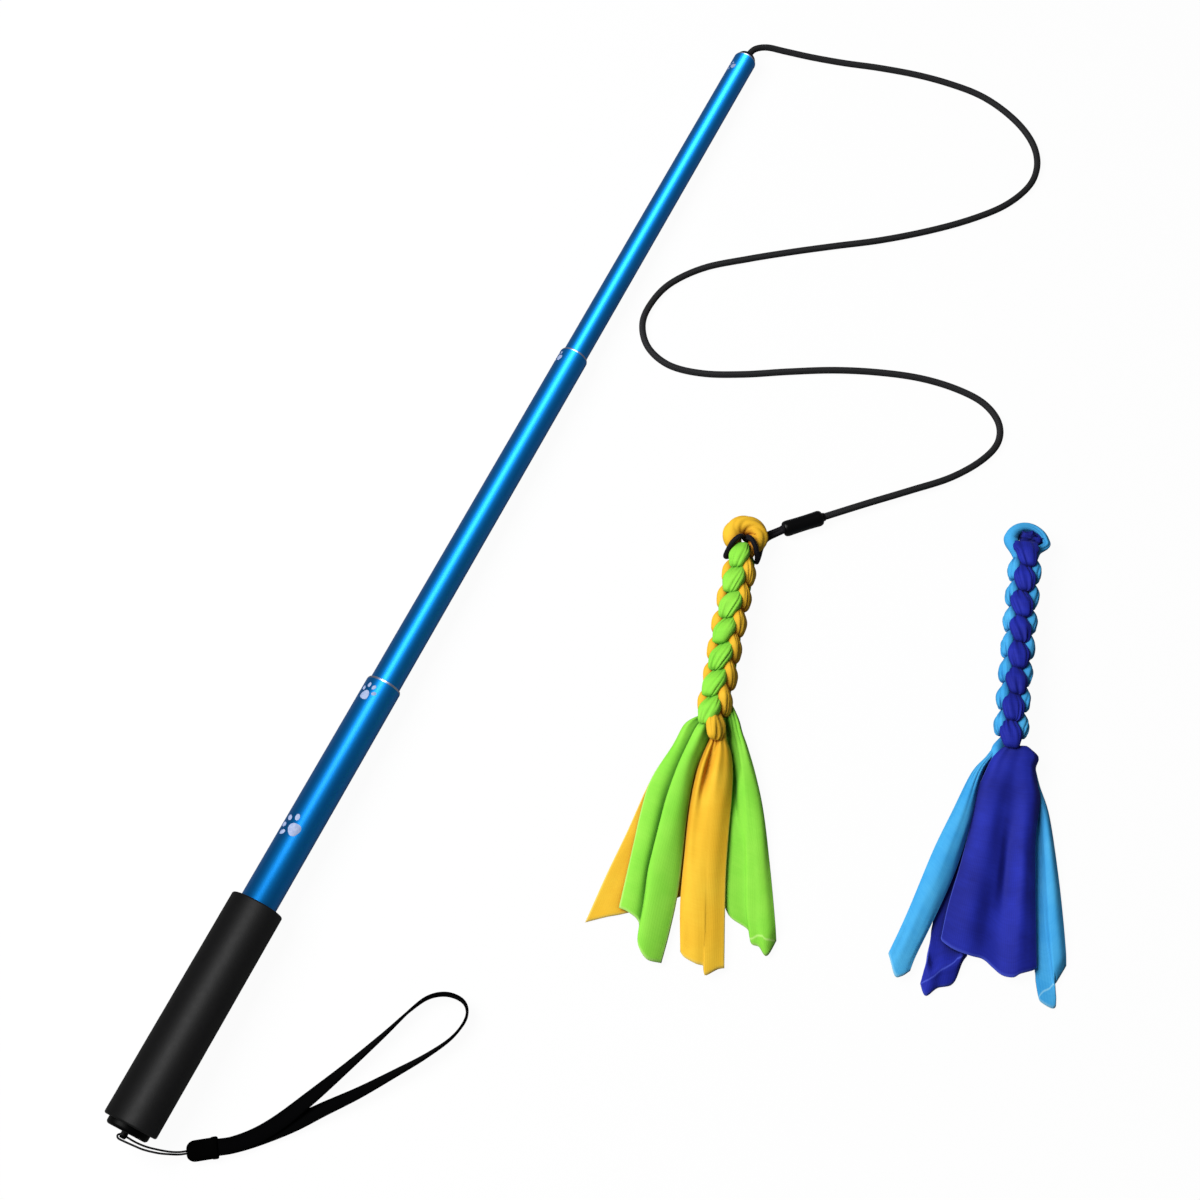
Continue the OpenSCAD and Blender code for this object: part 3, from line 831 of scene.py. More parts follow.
def round_angles(count: int) -> list[float]:
    """Angles in radians of points spread evenly round a circle."""
    return [math.tau * k / count for k in range(count)]


def blunted(share: float, power: float) -> float:
    """A sine or cosine raised to a power with its sign kept, which makes a round fuller below 1."""
    return math.copysign(abs(share) ** power, share)


def bend(a: Any, b: Any, c: Any, d: Any, t: float) -> Any:
    """Point of the smooth curve between b and c."""
    return 0.5 * (2 * b + (c - a) * t + (2 * a - 5 * b + 4 * c - d) * t * t
                  + (3 * b - a - 3 * c + d) * t ** 3)


def curve(points: Sequence[Vector], steps: int) -> list[Vector]:
    """Smooth curve through points, with the ends repeated.

    Args:
        points: vectors of any size.
        steps: points of the curve for each gap.

    Returns:
        The points of the curve.
    """
    last = len(points) - 1
    path = []
    for i in range(last):
        a, d = points[max(i - 1, 0)], points[min(i + 2, last)]
        path += [bend(a, points[i], points[i + 1], d, k / steps) for k in range(steps)]
    return path + [points[last]]


def through(stations: Sequence[float], spots: Sequence[Vector], share: float) -> Vector:
    """Point at a share of the way on a smooth line through spots.

    Args:
        stations: shares at which the line meets its spots, in rising order.
        spots: vectors of any size.
        share: of the way.

    Returns:
        The point of the line.
    """
    last = len(stations) - 1
    i = max(k for k in range(last) if stations[k] <= share or k == 0)
    span = stations[i + 1] - stations[i]
    t = (share - stations[i]) / span

    def slope(k: int) -> Vector:
        """Slope of the line at a spot."""
        a, b = max(k - 1, 0), min(k + 1, last)
        return (spots[b] - spots[a]) / (stations[b] - stations[a]) * span

    return (spots[i] * (2 * t ** 3 - 3 * t * t + 1) + slope(i) * (t ** 3 - 2 * t * t + t)
            + spots[i + 1] * (3 * t * t - 2 * t ** 3) + slope(i + 1) * (t ** 3 - t * t))


def height_on(line: Sequence[Pair], at: float) -> float:
    """Height of a line of straight runs.

    Args:
        line: its corners, as places along and heights.
        at: the place along.

    Returns:
        The height there, and the last corner's past the end.
    """
    for (start, low), (end, high) in zip(line, line[1:]):
        if at <= end:
            return low + (high - low) * (at - start) / (end - start)
    return line[-1][1]


def travelled(path: Sequence[Vector]) -> list[float]:
    """Length of a path up to each of its points.

    Args:
        path: of straight steps.

    Returns:
        The lengths, from 0.
    """
    lengths = [0.0]
    for here, there in zip(path, path[1:]):
        lengths.append(lengths[-1] + (there - here).length)
    return lengths


def headings(path: Sequence[Vector]) -> list[Vector]:
    """Direction of a path at each of its points."""
    last = len(path) - 1
    return [(path[min(i + 1, last)] - path[max(i - 1, 0)]).normalized() for i in range(last + 1)]


def tube(path: Sequence[Vector], radius: float, sides: int, up: Vector = UP) -> Form:
    """Makes a closed round tube along a path.

    Args:
        path: its middle line.
        radius: of the tube.
        sides: points round it.
        up: a direction that the path doesn't start along.

    Returns:
        The form of the tube.
    """
    rings, side = [], None
    for point, way in zip(path, headings(path)):
        side = up.cross(way) if side is None else side - way * side.dot(way)
        side.normalize()
        over = way.cross(side)
        ways = [math.cos(a) * side + math.sin(a) * over for a in round_angles(sides)]
        rings.append([point + radius * out for out in ways])
    lengths = travelled(path)
    form = Form()
    form.barrel(rings, along=lengths, end=lengths[-1])
    return form


def rounded(corners: Sequence[Pair], radius: float, steps: int) -> list[Pair]:
    """Rounds the corners of a closed outline.

    Args:
        corners: of the outline.
        radius: how far each rounding reaches along its edges.
        steps: pieces of each rounding.

    Returns:
        The rounded outline.
    """
    outline = []
    for i, corner in enumerate(corners):
        here = Vector(corner)
        back, ahead = Vector(corners[i - 1]) - here, Vector(corners[(i + 1) % len(corners)]) - here
        a = here + back.normalized() * min(radius, back.length / 2)
        b = here + ahead.normalized() * min(radius, ahead.length / 2)
        for k in range(steps + 1):
            t = k / steps
            outline.append(tuple(a * (1 - t) ** 2 + here * (2 * t * (1 - t)) + b * t * t))
    return outline


@dataclass(frozen=True)
class Axle:
    """A line that round pieces are turned about, with two directions square to it."""

    origin: Vector
    way: Vector
    side: Vector
    over: Vector

    def at(self, along: float, radius: float, degrees: float) -> Vector:
        """Point near the line.

        Args:
            along: distance along the line, in millimetres.
            radius: distance from it, in millimetres.
            degrees: angle round it, from its side.

        Returns:
            The point, in metres.
        """
        angle = math.radians(degrees)
        out = self.side * math.cos(angle) + self.over * math.sin(angle)
        return self.origin + (self.way * along + out * radius) * MM

    def turn(self, outline: Sequence[Pair], sides: int = 96, loop: bool = True) -> Form:
        """Turns an outline about the line.

        Args:
            outline: of the section, as distances along and radii.
            sides: points round the line.
            loop: whether the outline is closed; an open one gets a cap at each end.

        Returns:
            The turned form.
        """
        form = Form()
        rings = [[self.at(s, r, 360 * k / sides) for k in range(sides)] for s, r in outline]
        if loop:
            form.grid(rings, ring=True, loop=True)
        else:
            form.barrel(rings)
        return form


@dataclass(frozen=True)
class Lie:
    """How the part lies: the tilt of the pole and the floor, in millimetres from the butt."""

    hold: float = 70.0
    grip_r: float = 16.0
    tip_r: float = 8.0
    grip_reach: float = 136.5
    tip_reach: float = 808.0

    @functools.cached_property
    def tilt(self) -> float:
        """Slope of the pole's axis, in radians."""
        return math.atan((self.grip_r - self.tip_r) / (self.tip_reach - self.grip_reach))

    @functools.cached_property
    def floor(self) -> float:
        """Height of the floor in the row frame."""
        return -(self.grip_reach - self.hold) * math.sin(self.tilt) - self.grip_r * math.cos(self.tilt)

    @functools.cached_property
    def pole(self) -> Axle:
        """The pole's axis, measured from the butt."""
        way = Vector((0.0, math.cos(self.tilt), -math.sin(self.tilt)))
        over = Vector((0.0, math.sin(self.tilt), math.cos(self.tilt)))
        return Axle(way * (-self.hold * MM), way, Vector((1.0, 0.0, 0.0)), over)

    def laid(self, x: float, y: float, height: float) -> Vector:
        """Point over the floor, with y from the butt."""
        return Vector((x, y - self.hold, height + self.floor)) * MM


LIE = Lie()


@dataclass(frozen=True)
class TubeSize:
    """One tube of the pole: its solid, its body and its sizes in millimetres from the butt."""

    node: str
    body: str
    radius: float
    start: float
    mouth: float
    foot_r: float
    lip_r: float


class Section(Enum):
    """The sections of the pole."""

    OUTER = TubeSize("outer_tube", "handle", 11.0, 3.6, 285.0, 11.0, 9.6)
    MIDDLE = TubeSize("middle_tube", "middle_section", 9.5, 255.0, 539.0, 9.95, 8.1)
    TIP = TubeSize("tip_tube", "tip_section", LIE.tip_r, 509.0, LIE.tip_reach, 8.45, 6.99)


@dataclass(frozen=True)
class Paw:
    """A printed paw: its tube, place along and round it, pad size and facing."""

    section: Section
    along: float
    degrees: float
    size: float
    facing: float


@dataclass
class Pole:
    """The three tubes and the paws printed on them.

    A paw's sizes are shares of its pad. The print's steps are shares of a pad's width and of its rise.
    """

    wall: float = 1.0
    rim: float = 1.2
    rim_drop: float = 0.5
    lip: float = 3.0
    foot: float = 2.0
    edge: float = 0.3
    print_rise: float = 0.05
    print_steps: tuple[Pair, ...] = ((1.0, -0.2), (1.0, 0.4), (0.96, 1.0), (0.6, 1.0), (0.25, 1.0))
    pad_points: int = 40
    pad_point: float = 0.06
    pad_lobes: float = 0.08
    toe_points: int = 24
    toe_half: Pair = (0.52, 0.38)
    toes: tuple[Pair, ...] = ((-51.0, 1.95), (-16.0, 2.35), (16.0, 2.35), (51.0, 1.95))
    paws: tuple[Paw, ...] = (
        Paw(Section.OUTER, 181.8, 92.5, 3.9, 67.0),
        Paw(Section.OUTER, 271.6, 117.0, 3.0, -12.0),
        Paw(Section.MIDDLE, 530.2, 132.0, 2.1, 60.0),
        Paw(Section.TIP, 794.0, 118.0, 1.9, 75.0),
    )

    def build(self) -> list[Piece]:
        """Makes the prints and the tubes.

        Returns:
            The tubes.
        """
        for number, paw in enumerate(self.paws):
            self.paw(number, paw)
        return [self.tube(section.value) for section in Section]

    def tube(self, size: TubeSize) -> Piece:
        """Makes one tube with its flared foot and rolled, bare mouth.

        Args:
            size: of the tube.

        Returns:
            The tube.
        """
        start, mouth, radius = size.start, size.mouth, size.radius
        bore, waist, inside = radius - self.wall, start + self.foot, mouth - self.lip
        outline = [(start, bore), (start, size.foot_r)]
        if size.foot_r > radius:
            outline += [(waist, size.foot_r), (waist, radius)]
        outline += [(mouth - self.rim, radius), (mouth, radius - self.rim_drop), (mouth, size.lip_r),
                    (inside, size.lip_r), (inside, bore)]
        form = LIE.pole.turn(rounded(outline, self.edge, steps=3), sides=128)
        finish = AnodisedFinish(f"{size.node}_anodised", (mouth - LIE.hold) * MM, tuple(LIE.pole.way))
        return settle(form.piece(f"{size.node}_dyed", finish, sharp=35), size.body, "blue_tube", size.node)

    def paw(self, number: int, paw: Paw) -> None:
        """Prints one paw as thin pads that follow the tube.

        Args:
            number: of the paw, for its name.
            paw: that is printed.
        """
        form = Form()
        pad = []
        for angle in round_angles(self.pad_points):
            reach = 1 + self.pad_point * math.cos(angle) + self.pad_lobes * math.cos(3 * angle)
            pad.append((paw.size * reach * math.cos(angle), paw.size * reach * math.sin(angle)))
        self.pad(form, paw, pad)
        ahead, beside = self.toe_half
        for degrees, distance in self.toes:
            toe = []
            for angle in round_angles(self.toe_points):
                spot = turned((ahead * math.cos(angle) + distance, beside * math.sin(angle)), degrees)
                toe.append((paw.size * spot[0], paw.size * spot[1]))
            self.pad(form, paw, toe)
        settle(form.piece(f"paw_print_{number}", PRINT, sharp=40), paw.section.value.body, "blue_tube")

    def pad(self, form: Form, paw: Paw, outline: Sequence[Pair]) -> None:
        """Adds one pad of a paw.

        Args:
            form: that it is added to.
            paw: that it belongs to.
            outline: of the pad, ahead of and beside the paw's middle.
        """
        radius = paw.section.value.radius
        middle = (sum(p[0] for p in outline) / len(outline), sum(p[1] for p in outline) / len(outline))
        rings = []
        for share, rise in self.print_steps:
            ring = []
            for point in outline:
                spot = [m + (p - m) * share for p, m in zip(point, middle)]
                along, beside = turned((spot[0], spot[1]), paw.facing)
                degrees = paw.degrees + math.degrees(beside / radius)
                ring.append(LIE.pole.at(paw.along + along, radius + rise * self.print_rise, degrees))
            rings.append(ring)
        form.barrel(rings)


@dataclass
class Handle:
    """Foam grip and the plug in the butt, with its string lug, in millimetres from the butt."""

    start: float = Section.OUTER.value.start
    reach: float = LIE.grip_reach
    grip_r: float = LIE.grip_r
    bore: float = 11.05
    bevel: float = 0.4
    top_round: float = 1.0
    end_round: float = 1.3
    end_over: float = 2.4
    end_inset: float = 0.02
    arc_steps: int = 8
    grip_rows: int = 40
    grip_sides: int = 112
    skin_depth: float = 0.05
    skin_scale: float = 60.0
    skin_from: float = 2.0
    flange_r: float = 12.5
    flange_round: float = 1.9
    flange_back: float = -2.7
    flange_front: float = 3.5
    flange_play: float = 0.05
    core_r: float = 0.4
    spigot: Pair = (16.0, 9.95)
    spigot_bevel: float = 0.6
    hole_at: float = -4.4
    hole_r: float = 0.8
    hole_edge: float = 0.2
    lug_r: float = 1.8
    lug_span: Pair = (-2.25, 1.25)
    lug_edge: float = 0.5
    lug_round: Pair = (0.15, 0.2)
    lug_root: float = 0.5
    lug_square: float = 2.2
    lug_points: int = 48

    def build(self) -> Piece:
        """Makes the plug and the grip, and returns the grip."""
        self.plug()
        return self.grip()

    def grip(self) -> Piece:
        """Makes the foam sleeve with its soft ends and slightly uneven skin.

        Returns:
            The sleeve.
        """
        end, bevel = self.start - self.end_over, self.bevel
        low, high = end + self.end_round, self.reach - self.top_round
        outline = [(end + self.end_inset, self.flange_r + bevel)]
        outline += self.arc(low, self.grip_r - self.end_round, self.end_round, 180, 90)
        outline += [(low + (high - low) * k / self.grip_rows, self.grip_r) for k in range(1, self.grip_rows)]
        outline += self.arc(high, self.grip_r - self.top_round, self.top_round, 90, 0)
        outline += [(self.reach, self.bore + bevel), (self.reach - bevel, self.bore),
                    (self.start + bevel, self.bore), (self.start, self.bore + bevel),
                    (self.start, self.flange_r + self.flange_play)]
        turns = [360 * k / self.grip_sides for k in range(self.grip_sides)]
        form = Form()
        form.grid([[self.skin(s, r, degrees) for degrees in turns] for s, r in outline], ring=True, loop=True)
        piece = form.piece("foam_grip", FoamFinish("grip_foam"), sharp=50)
        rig.padded(piece, fill=0.9)
        return settle(piece, "handle", "foam", "grip_sleeve")

    def skin(self, along: float, radius: float, degrees: float) -> Vector:
        """Point of the foam, a little uneven outside its bore.

        Args:
            along: distance from the butt.
            radius: distance from the axis.
            degrees: angle round it.

        Returns:
            The point.
        """
        sway = 0.0
        if radius > self.bore + self.skin_from:
            sway = noise.noise(LIE.pole.at(along, radius, degrees) * self.skin_scale)
        return LIE.pole.at(along, radius + self.skin_depth * (sway - 1), degrees)

    def arc(self, along: float, radius: float, reach: float, start: float, end: float) -> list[Pair]:
        """Quarter of a circle in a section.

        Args:
            along: place of its middle.
            radius: of its middle.
            reach: the circle's own radius.
            start: angle that it starts at, in degrees.
            end: angle that it ends at.

        Returns:
            The points of the quarter.
        """
        angles = [math.radians(start + (end - start) * k / self.arc_steps) for k in range(self.arc_steps + 1)]
        return [(along + reach * math.cos(a), radius + reach * math.sin(a)) for a in angles]

    def plug(self) -> None:
        """Makes the flange, the spigot and the lug with its string hole."""
        end, radius = self.spigot
        edge, front = self.flange_round, self.flange_front
        outline = [(self.flange_back, self.core_r)]
        outline += self.arc(self.flange_back + edge, self.flange_r - edge, edge, 180, 90)
        outline += [(front - self.bevel, self.flange_r), (front, self.flange_r - self.bevel), (front, radius),
                    (end - self.spigot_bevel, radius), (end, radius - self.spigot_bevel), (end, self.core_r)]
        form = LIE.pole.turn(outline, loop=False)
        self.lug(form)
        settle(form.piece("butt_plug", PLASTIC, sharp=40), "handle", "black_plastic", "end_plug")

    def lug(self, form: Form) -> None:
        """Adds the lug: a small rounded ear on the flange with a hole across it.

        Args:
            form: that it is added to.
        """
        def loop(x: float, inset: float, hole: bool) -> list[Vector]:
            """One loop of points round the lug or round its hole.

            Args:
                x: its place across the lug.
                inset: how far it stands in from the lug's side, or out from the hole's.
                hole: whether it goes round the hole.

            Returns:
                The points of the loop.
            """
            points = []
            reach = self.hole_r + inset if hole else self.lug_r - inset
            for angle in round_angles(self.lug_points):
                along, over = -math.cos(angle), math.sin(angle)
                if hole or along <= 0:
                    along, over = along * reach, over * reach
                else:
                    along = along * (self.flange_back - self.hole_at + self.lug_root)
                    over = math.copysign(min(abs(over) * self.lug_square, 1.0), over) * reach
                points.append(LIE.pole.origin + (LIE.pole.way * (self.hole_at + along)
                                                 + LIE.pole.side * x + LIE.pole.over * over) * MM)
            return points

        low, high = self.lug_span
        edge, mouth = self.lug_edge, self.hole_edge
        step, inset = self.lug_round
        outside = ((low, edge), (low + step, inset), (low + edge, 0.0),
                   (high - edge, 0.0), (high - step, inset), (high, edge))
        inside = ((high, mouth), (high - mouth, 0.0), (low + mouth, 0.0), (low, mouth))
        form.grid([loop(x, by, False) for x, by in outside] + [loop(x, by, True) for x, by in inside],
                  ring=True, loop=True)


@dataclass
class LeadCord:
    """Elastic cord from the tip, its slider, the knot behind it and the noose, in millimetres.

    The slider's outline has distances from its tail or head, and radii. The cord's route is over the floor
    and the noose's in the lure's frame.
    """

    radius: float = 2.2
    plug_start: float = 796.0
    dome: float = 812.0
    plug_r: float = 6.93
    plug_edge: float = 0.3
    hole_r: float = 2.4
    hole_round: float = 0.9
    hole_lip: tuple[Pair, ...] = ((0.15, 0.3), (0.8, 0.0))
    slider_at: Pair = (171.0, 488.0)
    slider_angle: float = 45.0
    slider_r: float = 5.0
    slider_span: Pair = (0.3, 26.3)
    slider_play: float = 0.35
    slider_socket: float = 3.5
    slider_edge: float = 0.3
    slider_lip: float = 0.6
    slider_tail: tuple[Pair, ...] = (
        (0.1, 4.0), (0.6, 4.55), (1.6, 4.9), (3.0, 5.0), (8.0, 4.86), (14.0, 4.8))
    slider_head: tuple[Pair, ...] = (
        (6.0, 4.88), (3.2, 5.0), (1.7, 4.8), (0.7, 4.2), (0.1, 3.2), (0.0, 2.8))
    knot_r: float = 3.0
    knot_strand: float = 1.15
    knot_scale: float = 0.6
    knot_lift: float = 1.6
    knot_points: int = 90
    noose_r: float = 1.6
    noose_start: float = 0.8
    noose_gap: float = 0.15
    noose_pinch: float = 0.6
    run: Triple = (56.0, 28.0, 0.9)
    route: tuple[Triple, ...] = (
        (2, 820, 7.5), (9, 826, 6.5), (21, 830, 4.5), (40, 835, 2.8), (62, 841, 2), (86, 848, 2),
        (112, 854, 2), (136, 857, 2), (158, 857, 2), (178, 852, 2), (196, 843, 2),
        (209, 831, 2), (216, 816, 2), (216, 799, 2), (207, 778, 2), (190, 757, 2),
        (168, 736, 2), (142, 715, 2), (116, 697, 2), (92, 680, 2), (68, 662, 2),
        (45, 643, 2), (30, 622, 2), (25, 602, 2), (27, 585, 2), (38, 571, 2),
        (56, 565, 2), (78, 569, 2), (102, 580, 2), (128, 595, 2), (154, 609, 2),
        (180, 620, 2), (206, 628, 2), (230, 631, 2), (250, 629, 2), (264, 620, 2),
        (269, 606, 2), (264, 589, 2), (251, 569, 2.6), (232, 549, 4),
    )
    noose_route: tuple[Triple, ...] = (
        (16.6, 15.6, 4), (10.4, 12.2, 2.6), (4, 8.5, 1.8), (-2, 1.5, 1.8), (-6, -4, 2.6), (-9.6, -8, 6.5),
        (-9.4, -7, 11.5), (-7, -2.3, 17.2), (-3.4, 1.6, 18.6), (-1.2, 3.6, 14.5), (0, 4, 11),
        (1.2, 3.6, 14.5), (3.4, 1.6, 18.6), (7, -2.3, 17.2),
        (9.4, -7, 11.5), (9.6, -8, 6.5), (10.4, -2.5, 3), (11, 4, 2.4), (13.2, 10, 2.8), (17.8, 13.6, 4),
    )
    path: list[Vector] = field(default_factory=list, init=False)

    def build(self, lure: "Lure") -> None:
        """Makes the cord and all that is on it.

        Args:
            lure: the lure that the noose holds.
        """
        self.tip_plug()
        slider, knot = self.slider(), self.knot()
        cord, exit_point, length = self.cord()
        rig.cord(cord, exit=exit_point, length=length, diameter=2 * self.radius * MM, far_end="fitting",
                stiffness="limp", lay="loose", path=self.path, with_pieces=[slider, knot])
        self.noose(lure)

    def tip_plug(self) -> None:
        """Makes the domed plug with the hole that the cord leaves by."""
        rise, slope = self.dome - LIE.tip_reach, self.plug_r - self.hole_r - self.hole_round
        outline = [(self.plug_start, self.hole_r), (self.plug_start, self.plug_r - self.plug_edge),
                   (self.plug_start + self.plug_edge, self.plug_r)]
        for degrees in range(0, 91, 9):
            angle = math.radians(degrees)
            outline.append((LIE.tip_reach + rise * math.sin(angle),
                            self.plug_r - slope * (1 - math.cos(angle))))
        outline += [(self.dome - back, self.hole_r + out) for back, out in self.hole_lip]
        form = LIE.pole.turn(outline, sides=72)
        settle(form.piece("tip_cap", RUBBER, sharp=50), "tip_section", "black_rubber", "tip_plug")

    @property
    def slide(self) -> Axle:
        """The straight end of the cord that the slider runs on, from the knot."""
        angle = math.radians(self.slider_angle)
        way = Vector((math.cos(angle), math.sin(angle), 0.0))
        return Axle(LIE.laid(*self.slider_at, self.slider_r), way, UP.cross(way), UP)

    def slider(self) -> Piece:
        """Makes the soft barrel with its rounded shoulders.

        Returns:
            The slider.
        """
        low, high = self.slider_span
        bore, socket_r = self.radius + self.slider_play, self.knot_r + self.slider_play
        outline = [(low + self.slider_socket, bore), (low + self.slider_socket, socket_r),
                   (low + self.slider_edge, socket_r), (low, self.knot_r + self.slider_lip)]
        outline += [(low + distance, radius) for distance, radius in self.slider_tail]
        outline += [(high - distance, radius) for distance, radius in self.slider_head]
        outline += [(high - self.slider_edge, bore)]
        path = curve([Vector(point) for point in outline + outline[:1]], steps=4)[:-1]
        form = self.slide.turn([(p[0], p[1]) for p in path], sides=64)
        return settle(form.piece("noose_slider", RUBBER, sharp=60), "slider", "black_rubber", "cord_slider")

    def knot(self) -> Piece:
        """Makes the small tight knot in the slider's mouth.

        Returns:
            The knot.
        """
        slide, path = self.slide, []
        for t in round_angles(self.knot_points):
            x, y = math.sin(t) + 2 * math.sin(2 * t), math.cos(t) - 2 * math.cos(2 * t)
            z = -self.knot_lift * math.sin(3 * t)
            spot = slide.side * x + slide.over * y + slide.way * z
            path.append(slide.origin + spot * (self.knot_scale * MM))
        form = tube(path, self.knot_strand * MM, sides=14, up=slide.way)
        return settle(form.piece("stop_knot", NOOSE_SHEATH), "lure", "cord_black", "noose_knot")

    def cord(self) -> tuple[Piece, Vector, float]:
        """Makes the cord.

        Returns:
            The cord, the point where it leaves the tip and its length.
        """
        leave = [LIE.pole.at(s, 0.0, 0.0) for s in (self.plug_start, LIE.tip_reach, self.dome)]
        run = [self.slide.at(distance, 0.0, 0.0) for distance in self.run]
        self.path = curve(leave + [LIE.laid(*point) for point in self.route] + run, steps=10)
        form = tube(self.path, self.radius * MM, sides=20)
        cord = settle(form.piece("elastic_cord", SHEATH), "tip_carrier", "cord_black", "cord")
        return cord, leave[-1], travelled(self.path)[-1]

    def noose(self, lure: "Lure") -> None:
        """Makes the noose from the knot, round the neck of the lure and back.

        Args:
            lure: that it holds.
        """
        slide = self.slide
        start = slide.origin - slide.way * (self.noose_start * MM)
        half = self.noose_r + self.noose_gap
        ends = [start + slide.side * (side * half * self.noose_pinch * MM) for side in (1, -1)]
        route = [lure.laid(*point) for point in self.noose_route]
        path = curve([ends[0]] + route + [ends[1]], steps=12)
        form = tube(path, self.noose_r * MM, sides=18)
        noose = settle(form.piece("slip_noose", NOOSE_SHEATH), "lure", "cord_black", "noose")
        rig.cord(noose, exit=slide.origin, length=travelled(path)[-1], diameter=2 * self.noose_r * MM,
                far_end="object", stiffness="limp", lay="loose", path=path)


@dataclass
class WristStrap:
    """Webbing loop, the ferrule it is crimped in and the string through the lug, in millimetres.

    The ferrule's lip has distances along it and how far it stands out. The webbing's route ends with the
    angle of its face.
    """

    ferrule_at: Pair = (31.0, 3.0)
    ferrule_angle: float = 35.0
    ferrule_l: float = 17.0
    ferrule_w: float = 12.0
    ferrule_t: float = 5.7
    ferrule_points: int = 48
    ferrule_square: float = 0.5
    nose_start: float = 0.1
    nose_l: float = 4.6
    nose_angle: float = 8.0
    nose_rings: int = 10
    nose_tip: Pair = (0.25, 0.45)
    shell: Pair = (0.35, 0.15)
    lip: tuple[Pair, ...] = (
        (8.0, 0.0), (13.6, 0.0), (14.0, 0.25), (14.6, 0.33), (16.4, 0.33), (16.8, 0.15), (17.0, -0.15))
    lip_thin: float = 0.4
    slot_play: Pair = (0.2, 0.25)
    slot_flare: Pair = (0.3, 0.2)
    slot_edge: float = 0.3
    grip: float = 8.0
    width: float = 9.0
    thickness: float = 1.6
    string_r: float = 0.55
    string_half: float = 0.65
    string_turn: float = 1.2
    string_round: float = 2.55
    string_runs: Pair = (12.0, 6.0)
    string_sags: tuple[Pair, ...] = ((0.3, -0.6), (-0.2, -0.3))
    string_returns: tuple[Pair, ...] = ((0.4, -0.6), (1.0, -1.0))
    string_low: float = -0.1
    string_strand: tuple[Pair, ...] = ((5.0, 0.0), (0.0, 0.0), (-4.0, 1.0))
    string_out: tuple[Triple, ...] = ((24, -0.8, 9), (19, -2.6, 13.2))
    string_back: tuple[Triple, ...] = ((19.8, -4.1, 12.4), (24.6, -1.9, 8.3))
    held_out: Pair = (3.7, 0.0)
    held_back: Pair = (2.0, -180.0)
    webbing_route: tuple[tuple[float, float, float, float], ...] = (
        (52, 17.8, 3.7, 0), (61, 27.5, 3.7, -2), (69, 40, 3.7, -6),
        (77, 57, 4, -25), (87, 80, 4.4, -50), (97, 105, 4.6, -68), (104, 124, 4.6, -80),
        (110, 135, 4.6, -86), (119, 141, 4.6, -90), (129, 141, 4.6, -92),
        (134, 134, 4.6, -96), (132, 121, 4.6, -102), (124, 106, 4.6, -110),
        (113, 90, 4.4, -122), (100, 72, 4, -138), (87, 56, 3.4, -154), (75, 41, 2.4, -172),
        (62, 27, 2, -178), (52, 17.8, 2, -180),
    )

    def build(self) -> None:
        """Makes the ferrule, the string and the webbing."""
        self.ferrule()
        self.string()
        self.webbing()

    def at(self, along: float, aside: float, height: float) -> Triple:
        """Point beside the ferrule's middle line, over the floor."""
        spot = turned((along, aside), self.ferrule_angle)
        return (self.ferrule_at[0] + spot[0], self.ferrule_at[1] + spot[1], height)

    def ferrule(self) -> None:
        """Makes the bullet-nosed ferrule with a lip and a slot for the webbing."""
        def loop(along: float, half_w: float, half_t: float) -> list[Vector]:
            """One loop of points across the ferrule.

            Args:
                along: its place.
                half_w: half of its width.
                half_t: half of its thickness.

            Returns:
                The points of the loop.
            """
            points = []
            for angle in round_angles(self.ferrule_points):
                aside = blunted(math.cos(angle), self.ferrule_square) * half_w
                over = blunted(math.sin(angle), self.ferrule_square) * half_t
                points.append(LIE.laid(*self.at(along, aside, self.ferrule_t / 2 + over)))
            return points

        half_w, half_t = self.ferrule_w / 2, self.ferrule_t / 2
        (thin_w, thin_t), (tip_w, tip_t) = self.shell, self.nose_tip
        rings, last = [], self.nose_rings - 1
        for k in range(self.nose_rings):
            share = math.sin(math.radians(self.nose_angle + (90 - self.nose_angle) * k / last))
            along = self.nose_start + self.nose_l * (1 - math.cos(math.radians(90 * k / last)))
            rings.append(loop(along, half_w * (tip_w + (1 - tip_w) * share) - thin_w,
                              half_t * (tip_t + (1 - tip_t) * share) - thin_t))
        rings += [loop(along, half_w - thin_w + out, half_t - thin_t + self.lip_thin * out)
                  for along, out in self.lip]
        slot_w, slot_t = self.width / 2 + self.slot_play[0], self.thickness + self.slot_play[1]
        rings += [loop(self.ferrule_l, slot_w + self.slot_flare[0], slot_t + self.slot_flare[1]),
                  loop(self.ferrule_l - self.slot_edge, slot_w, slot_t),
                  loop(self.ferrule_l - self.grip - self.slot_edge, slot_w, slot_t)]
        form = Form()
        form.barrel(rings)
        settle(form.piece("crimped_ferrule", FERRULE, sharp=50), "strap", "black_plastic", "strap_ferrule")

